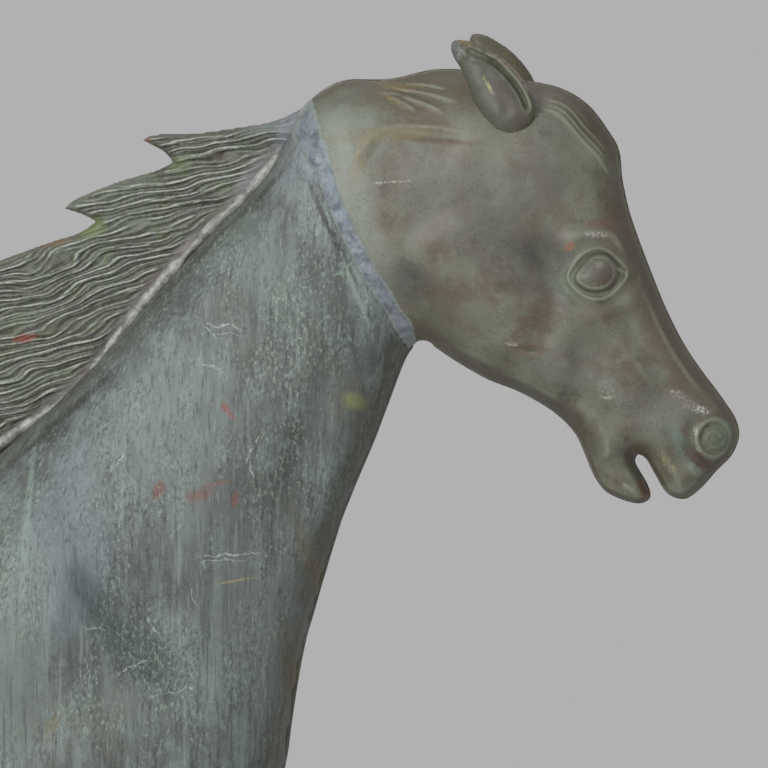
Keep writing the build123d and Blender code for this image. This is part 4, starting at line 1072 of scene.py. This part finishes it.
def neck_patina():
    """Grey-green weathered copper: drips of verdigris, dark bare streaks, flecks, scratches and marks, with
    painted highlight, painted shadow and painted shade towards the outlines.
    """
    look = Look("neck_patina", (94, 97, 93), stands_out=38)
    broad = look.noise(60, detail=3)
    blotch = look.noise(13, detail=7, coarse=0.68, shift=0.3)
    fleck = look.noise(1.5, detail=4, coarse=0.7)
    runs = look.noise(5, (1, 1, 16), detail=4, shift=0.1)
    fine_runs = look.noise(1.5, (1, 1, 22), detail=3, shift=0.7)
    drift = look.noise(7, (1, 1, 3.2), detail=8, coarse=0.72, shift=7.0)
    look.coat((118, 128, 126), broad, 0.36, 0.6)
    look.coat((130, 144, 142), blotch, 0.46, 0.62, 0.75)
    look.coat((84, 86, 82), drift, 0.48, 0.36, 0.75)
    columns = look.noise(15, (1, 1, 6), detail=4, shift=11.0)
    look.coat((80, 83, 80), columns, 0.49, 0.36, 0.5)
    look.coat((138, 152, 150), columns, 0.53, 0.66, 0.45)
    look.coat((78, 80, 76), runs, 0.5, 0.36, 0.6)
    look.coat((146, 160, 156), runs, 0.55, 0.7, 0.6)
    bare = look.ramp(look.noise(24, shift=2.0), 0.52, 0.68, 0.4)
    look.lay((104, 90, 78), look.both(bare, look.ramp(fine_runs, 0.42, 0.62)))
    for centre, size, turn, rgb, cover in NECK_PATCHES:
        jag = 0.9 if min(size) > 1 else 0.3
        look.mark(rgb, cover, centre, size, turn, soft=0.55, jag=jag, jag_size=max(2.0, min(size) * 0.6))
    lichen = look.noise(1.3, (1, 1, 1.9), detail=6, coarse=0.78, shift=3.0)
    grown = look.ramp(look.noise(19, (1, 1, 2.4), detail=5, shift=5.0), 0.42, 0.62)
    look.coat((64, 68, 64), fine_runs, 0.46, 0.32, 0.55)
    look.coat((158, 170, 164), fine_runs, 0.56, 0.72, 0.42)
    look.lay((158, 178, 165), look.both(look.ramp(lichen, 0.52, 0.62, 0.85), grown))
    look.lay((60, 62, 57), look.both(look.ramp(lichen, 0.47, 0.36, 0.8), grown))
    look.coat((60, 62, 57), fleck, 0.42, 0.27, 0.6)
    look.coat((180, 190, 182), fleck, 0.6, 0.74, 0.5)
    scratched = None
    for centre, half_length, half_width, turn in NECK_SCRATCHES:
        line = look.spot(centre, (half_length, half_width), turn, jag=0.9, jag_size=1.0, wander=True)
        scratched = line if scratched is None else look.math("MAXIMUM", scratched, line)
    scratched = look.both(scratched, look.ramp(fleck, 0.36, 0.56))
    look.lay((196, 206, 200), look.both(scratched, 0.75))
    look.coat((70, 72, 66), look.layer("wear"), -0.1, -0.6, 0.6)
    look.coat((150, 162, 158), look.layer("wear"), 0.15, 0.7, 0.4)
    # Painted shade towards the outlines.
    look.coat((88, 82, 64), look.layer("rim"), 0, 1, 0.4)
    roughness = look.uneven(blotch, 0.3, 0.36)
    heights = [(blotch, 0.35), (drift, 0.2), (fleck, 0.14), (runs, 0.16), (lichen, 0.22), (scratched, -0.12)]
    return look.finish(roughness, heights, specular=0.45)


def head_patina(name, patches, speckles, marks, olive=0.0):
    """Smoother, olive-brown patina with a satin shine, green in the hollows and pale on worn ridges, with
    painted shade towards the outlines and painted light and shade among its patches and marks.
    """
    look = Look(name, (104, 101, 87), stands_out=27)
    broad = look.noise(34, detail=3, shift=0.2)
    blotch = look.noise(11, detail=7, coarse=0.65, shift=0.5)
    fleck = look.noise(1.2, detail=4, coarse=0.7, shift=0.9)
    warm = look.noise(19, detail=4, shift=1.7)
    look.coat((126, 127, 111), broad, 0.38, 0.62)
    look.coat((106, 87, 70), warm, 0.48, 0.64, 0.65)
    look.coat((132, 137, 122), blotch, 0.5, 0.66, 0.6)
    look.coat((76, 72, 58), blotch, 0.45, 0.31, 0.65)
    look.lay((88, 84, 60), olive)
    for centre, size, turn, rgb, cover in patches:
        look.mark(rgb, cover, centre, size, turn, soft=0.6, jag=0.8, jag_size=max(1.5, min(size) * 0.6))
    grit = look.noise(0.7, detail=4, coarse=0.75, shift=1.3)
    look.coat((66, 62, 50), fleck, 0.44, 0.3, 0.5)
    look.coat((146, 152, 130), fleck, 0.58, 0.74, 0.4)
    look.coat((70, 66, 54), grit, 0.47, 0.34, 0.4)
    look.coat((150, 154, 136), grit, 0.55, 0.7, 0.3)
    # Painted shade towards the outlines.
    look.coat((80, 72, 55), look.layer("rim"), 0, 1, 0.5)
    look.coat((104, 114, 90), look.layer("wear"), -0.08, -0.3, 0.5)
    look.coat((56, 52, 42), look.layer("wear"), -0.3, -0.85, 0.85)
    look.coat((144, 152, 130), look.layer("wear"), 0.12, 0.55, 0.65)
    grains = look.ramp(look.noise(1.0, detail=5, coarse=0.75, shift=4.0), 0.56, 0.72)
    for centre, size, turn in speckles:
        look.mark((172, 176, 164), 0.5, centre, size, turn, mask=grains, soft=0.8, jag=1.2, jag_size=3)
    broken = look.ramp(look.noise(0.9, (1.6, 1, 1), detail=5, coarse=0.75, shift=9.0, turn=25), 0.42, 0.56)
    for centre, size, turn, rgb, cover in marks:
        mask = broken if max(rgb) > 150 else None
        look.mark(rgb, cover, centre, size, turn, mask=mask, jag=2.4, jag_size=1.4)
    roughness = look.uneven(blotch, 0.2, 0.38)
    return look.finish(roughness, [(blotch, 0.12), (fleck, 0.08), (grit, 0.05)], specular=0.42)


def hair_patina():
    """Dark, green-edged valleys between pale worn strands."""
    look = Look("hair_patina", (92, 94, 82), stands_out=7)
    broad = look.noise(26, detail=4, shift=0.4)
    blotch = look.noise(5, (2.2, 1, 1), detail=6, coarse=0.7, turn=-15)
    fleck = look.noise(1.1, (2, 1, 1), detail=4, coarse=0.7, turn=-15)
    look.coat((112, 117, 104), broad, 0.4, 0.62)
    look.coat((104, 114, 72), look.noise(13, shift=6.0), 0.5, 0.64, 0.7)
    look.coat((96, 80, 66), look.noise(14, shift=8.0), 0.56, 0.7, 0.5)
    look.coat((64, 64, 56), blotch, 0.44, 0.3, 0.6)
    look.coat((54, 55, 49), look.layer("wear"), -0.02, -0.4, 0.85)
    look.coat((142, 150, 138), look.layer("wear"), 0.05, 0.35, 0.85)
    rubbed = look.both(look.ramp(look.layer("wear"), 0.2, 0.6), look.ramp(blotch, 0.36, 0.56))
    look.lay((206, 210, 200), look.both(rubbed, 0.85))
    grit = look.noise(0.9, detail=6, coarse=0.8, shift=2.0)
    look.coat((52, 53, 46), fleck, 0.46, 0.32, 0.6)
    look.coat((58, 60, 50), grit, 0.47, 0.36, 0.65)
    look.coat((170, 178, 164), grit, 0.54, 0.68, 0.5)
    for centre, size, turn, rgb, cover in HAIR_PATCHES:
        look.mark(rgb, cover, centre, size, turn, jag=0.9, jag_size=2)
    roughness = look.uneven(blotch, 0.3, 0.34)
    return look.finish(roughness, [(blotch, 0.18), (fleck, 0.1), (grit, 0.12)], specular=0.5)


def leg_patina():
    """The neck's patina without its marks."""
    look = Look("leg_patina", (90, 92, 86))
    blotch = look.noise(12, detail=7, coarse=0.68)
    fleck = look.noise(1.5, detail=4, coarse=0.7)
    runs = look.noise(4, (1, 1, 14), detail=4)
    look.coat((120, 131, 127), look.noise(40, detail=3), 0.38, 0.6)
    look.coat((132, 146, 140), blotch, 0.46, 0.68, 0.6)
    look.coat((74, 76, 72), runs, 0.5, 0.36, 0.55)
    look.coat((150, 164, 156), runs, 0.56, 0.72, 0.5)
    look.coat((104, 84, 70), look.noise(22, shift=2.0), 0.55, 0.7, 0.5)
    look.coat((62, 64, 58), fleck, 0.42, 0.28, 0.5)
    look.coat((176, 186, 176), fleck, 0.62, 0.76, 0.35)
    roughness = look.uneven(blotch, 0.3, 0.36)
    return look.finish(roughness, [(blotch, 0.35), (fleck, 0.12), (runs, 0.15)], specular=0.45)


def solder_patina(name, pale, dark, tint, edge=0.0):
    """Dull soft solder, lumpy and oxidised."""
    look = Look(name, dark)
    blotch = look.noise(5, detail=6, coarse=0.7)
    fleck = look.noise(0.9, detail=4, coarse=0.7)
    look.coat(pale, blotch, 0.36, 0.6)
    look.coat(tint, look.noise(15, shift=1.0), 0.5, 0.66, 0.55)
    look.coat((150, 158, 148), look.layer("wear"), 0.5, 0.05, edge)
    look.coat((84, 86, 84), fleck, 0.42, 0.28, 0.6)
    look.coat((205, 208, 205), fleck, 0.58, 0.74, 0.5)
    return look.finish(0.48, [(blotch, 0.3), (fleck, 0.12)], metallic=0.1, specular=0.45)


def aged_metal(name, bright, dull, stain, metallic, satin, grain=2.0, cover=0.6):
    """Metal that has dulled unevenly outdoors: clean metal, a dull film and stains in patches.
    satin is the roughness of the clean metal."""
    look = Look(name, bright)
    blotch = look.noise(14, detail=7, coarse=0.66)
    fleck = look.noise(grain, detail=5, coarse=0.7)
    film = look.ramp(blotch, 0.38, 0.62)
    stains = look.ramp(look.noise(7, detail=7, coarse=0.7, shift=1.0), 0.52, 0.64, cover)
    look.lay(dull, film)
    look.lay(stain, stains)
    look.coat([c * 0.62 for c in dull], fleck, 0.42, 0.28, 0.5)
    metal = look.math("SUBTRACT", metallic, look.both(stains, 0.6 * metallic), clamp=True)
    roughness = look.math("ADD", look.both(look.math("ADD", film, stains), 0.16), satin, clamp=True)
    return look.finish(roughness, [(blotch, 0.12), (fleck, 0.1)], metallic=metal)


def make_fittings():
    """Materials of the CAD parts that keep their shape: each is aged in its own way."""
    brass = aged_metal("aged_brass", (176, 148, 92), (112, 96, 66), (98, 128, 112), 0.9, 0.34)
    cast_brass = aged_metal("cast_brass", (166, 136, 82), (104, 88, 58), (92, 118, 102), 0.9, 0.42, 1.2)
    letters = aged_metal("letter_brass", (150, 126, 80), (100, 88, 62), (100, 130, 116), 0.8, 0.4, 1.5, 0.8)
    globes = aged_metal("globe_copper", (132, 100, 72), (96, 84, 70), (112, 138, 126), 0.7, 0.38, 2.2, 0.9)
    bronze = aged_metal("bearing_bronze", (170, 132, 84), (128, 100, 66), (90, 74, 52), 0.9, 0.3)
    rivets = aged_metal("copper_rivets", (158, 100, 70), (110, 78, 60), (104, 132, 120), 0.85, 0.36, 1.0)
    iron = aged_metal("bar_iron", (74, 68, 64), (60, 52, 47), (112, 72, 48), 0.6, 0.5, 1.5)
    steel = aged_metal("spindle_steel", (140, 142, 144), (112, 112, 112), (104, 88, 72), 1.0, 0.3, 1.5, 0.3)
    screws = aged_metal("screw_steel", (150, 150, 148), (112, 108, 102), (110, 82, 60), 1.0, 0.34, 1.0)
    zinc = aged_metal("galvanised_pipe", (158, 162, 164), (132, 137, 140), (172, 174, 172), 0.75, 0.42, 3.0)
    cast_iron = aged_metal("cast_iron", (62, 60, 58), (48, 46, 45), (98, 64, 46), 0.4, 0.55, 1.4, 0.5)
    wearing = {
        brass: ("globe_ferrules", "pivot_sleeve", "sleeve_bracket", "belly_ferrule"),
        cast_brass: ("compass_hub", "bar_cross", "bar_end_balls", "arm_east", "arm_north", "arm_west",
                     "arm_south"),
        letters: ("letter_e", "letter_n", "letter_w", "letter_s"),
        globes: ("lower_globe_lower_half", "lower_globe_upper_half", "upper_globe_lower_half",
                 "upper_globe_upper_half"),
        bronze: ("lower_bush", "upper_bush", "pivot_cup"),
        rivets: ("hoof_rivets",),
        iron: ("front_bar", "rear_bar"),
        steel: ("spindle",),
        screws: ("set_screws", "letter_pins"),
        zinc: ("mast_pipe",),
        cast_iron: ("base_flange", "mast_cap"),
    }
    for material, nodes in wearing.items():
        for node in nodes:
            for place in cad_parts[node].material_slots:
                place.material = material


neck_copper, hair_copper = neck_patina(), hair_patina()
face_copper = head_patina("head_patina", HEAD_PATCHES, HEAD_SPECKLES, HEAD_MARKS)
ear_copper = head_patina("ear_patina", EAR_PATCHES, [], EAR_MARKS, olive=0.6)
throat_solder = solder_patina("throat_solder", (148, 156, 163), (104, 112, 118), (124, 140, 154), edge=0.75)
mane_solder = solder_patina("mane_solder", (184, 184, 180), (118, 120, 116), (148, 146, 136))
make_fittings()
make_head_and_body(neck_copper, face_copper, throat_solder)
make_mane(hair_copper, mane_solder)
make_ears(ear_copper)
make_hair("tail", TAIL_LINE, 0.7, tail_height, 1.4, hair_copper, "tail_{}_shell")
make_legs(leg_patina())


# ---------------------------------------------------------------- stage, light and camera
AIM = Vector((0.2369, 0.0, 0.9142))  # metres, as everything below
VIEW_WIDTH, DISTANCE, FAR = 0.3226, 2.6, 100
FLOOR_RADIUS, FLOOR_SIDES = 4, 96
BACKDROP = 0.44  # linear grey of the studio's background
# Soft round lights: name, place, diameter, watts.
LIGHTS = [
    ("key", (-1.2, -2.8, 1.9), 1.4, 74), ("fill", (2.0, -2.6, 1.4), 1.8, 14),
    ("top", (0.2, 0.4, 3.2), 2.0, 12), ("back", (-0.6, 3.0, 1.2), 1.8, 14),
]


def floor_paint():
    """Plain pale paint with a faint mottle."""
    look = Look("floor_paint", (214, 214, 214))
    look.coat((222, 222, 222), look.noise(400), 0.4, 0.6)
    return look.finish(0.9, [])


def aimed(name, data, place):
    """An object at this place that faces the horse's head."""
    obj = placed(name, data)
    obj.location = place
    obj.rotation_euler = (AIM - obj.location).to_track_quat("-Z", "Y").to_euler()
    return obj


floor_mesh = bpy.data.meshes.new("floor")
turns = np.linspace(0, 2 * math.pi, FLOOR_SIDES, endpoint=False)
rim = [(FLOOR_RADIUS * math.cos(t), FLOOR_RADIUS * math.sin(t), 0) for t in turns]
floor_mesh.from_pydata(rim, [], [range(FLOOR_SIDES)])
floor_mesh.materials.append(floor_paint())
placed("floor", floor_mesh)

camera_data = bpy.data.cameras.new("camera")
camera_data.lens = camera_data.sensor_width * DISTANCE / VIEW_WIDTH
camera_data.clip_end = FAR
towards = Vector((LEAN_X * math.cos(ELEVATION), -math.cos(AZIMUTH) * math.cos(ELEVATION), LEAN_Z))
bpy.context.scene.camera = aimed("camera", camera_data, AIM + DISTANCE * towards)

world = bpy.data.worlds.new("studio")
bpy.context.scene.world = world
world.use_nodes = True
world.node_tree.nodes["Background"].inputs["Color"].default_value = (BACKDROP, BACKDROP, BACKDROP, 1)

for light_name, place, diameter, watts in LIGHTS:
    light = bpy.data.lights.new(light_name, "AREA")
    light.shape, light.size, light.energy = "DISK", diameter, watts
    aimed(light_name, light, place)

bpy.context.scene.view_settings.view_transform = "Standard"
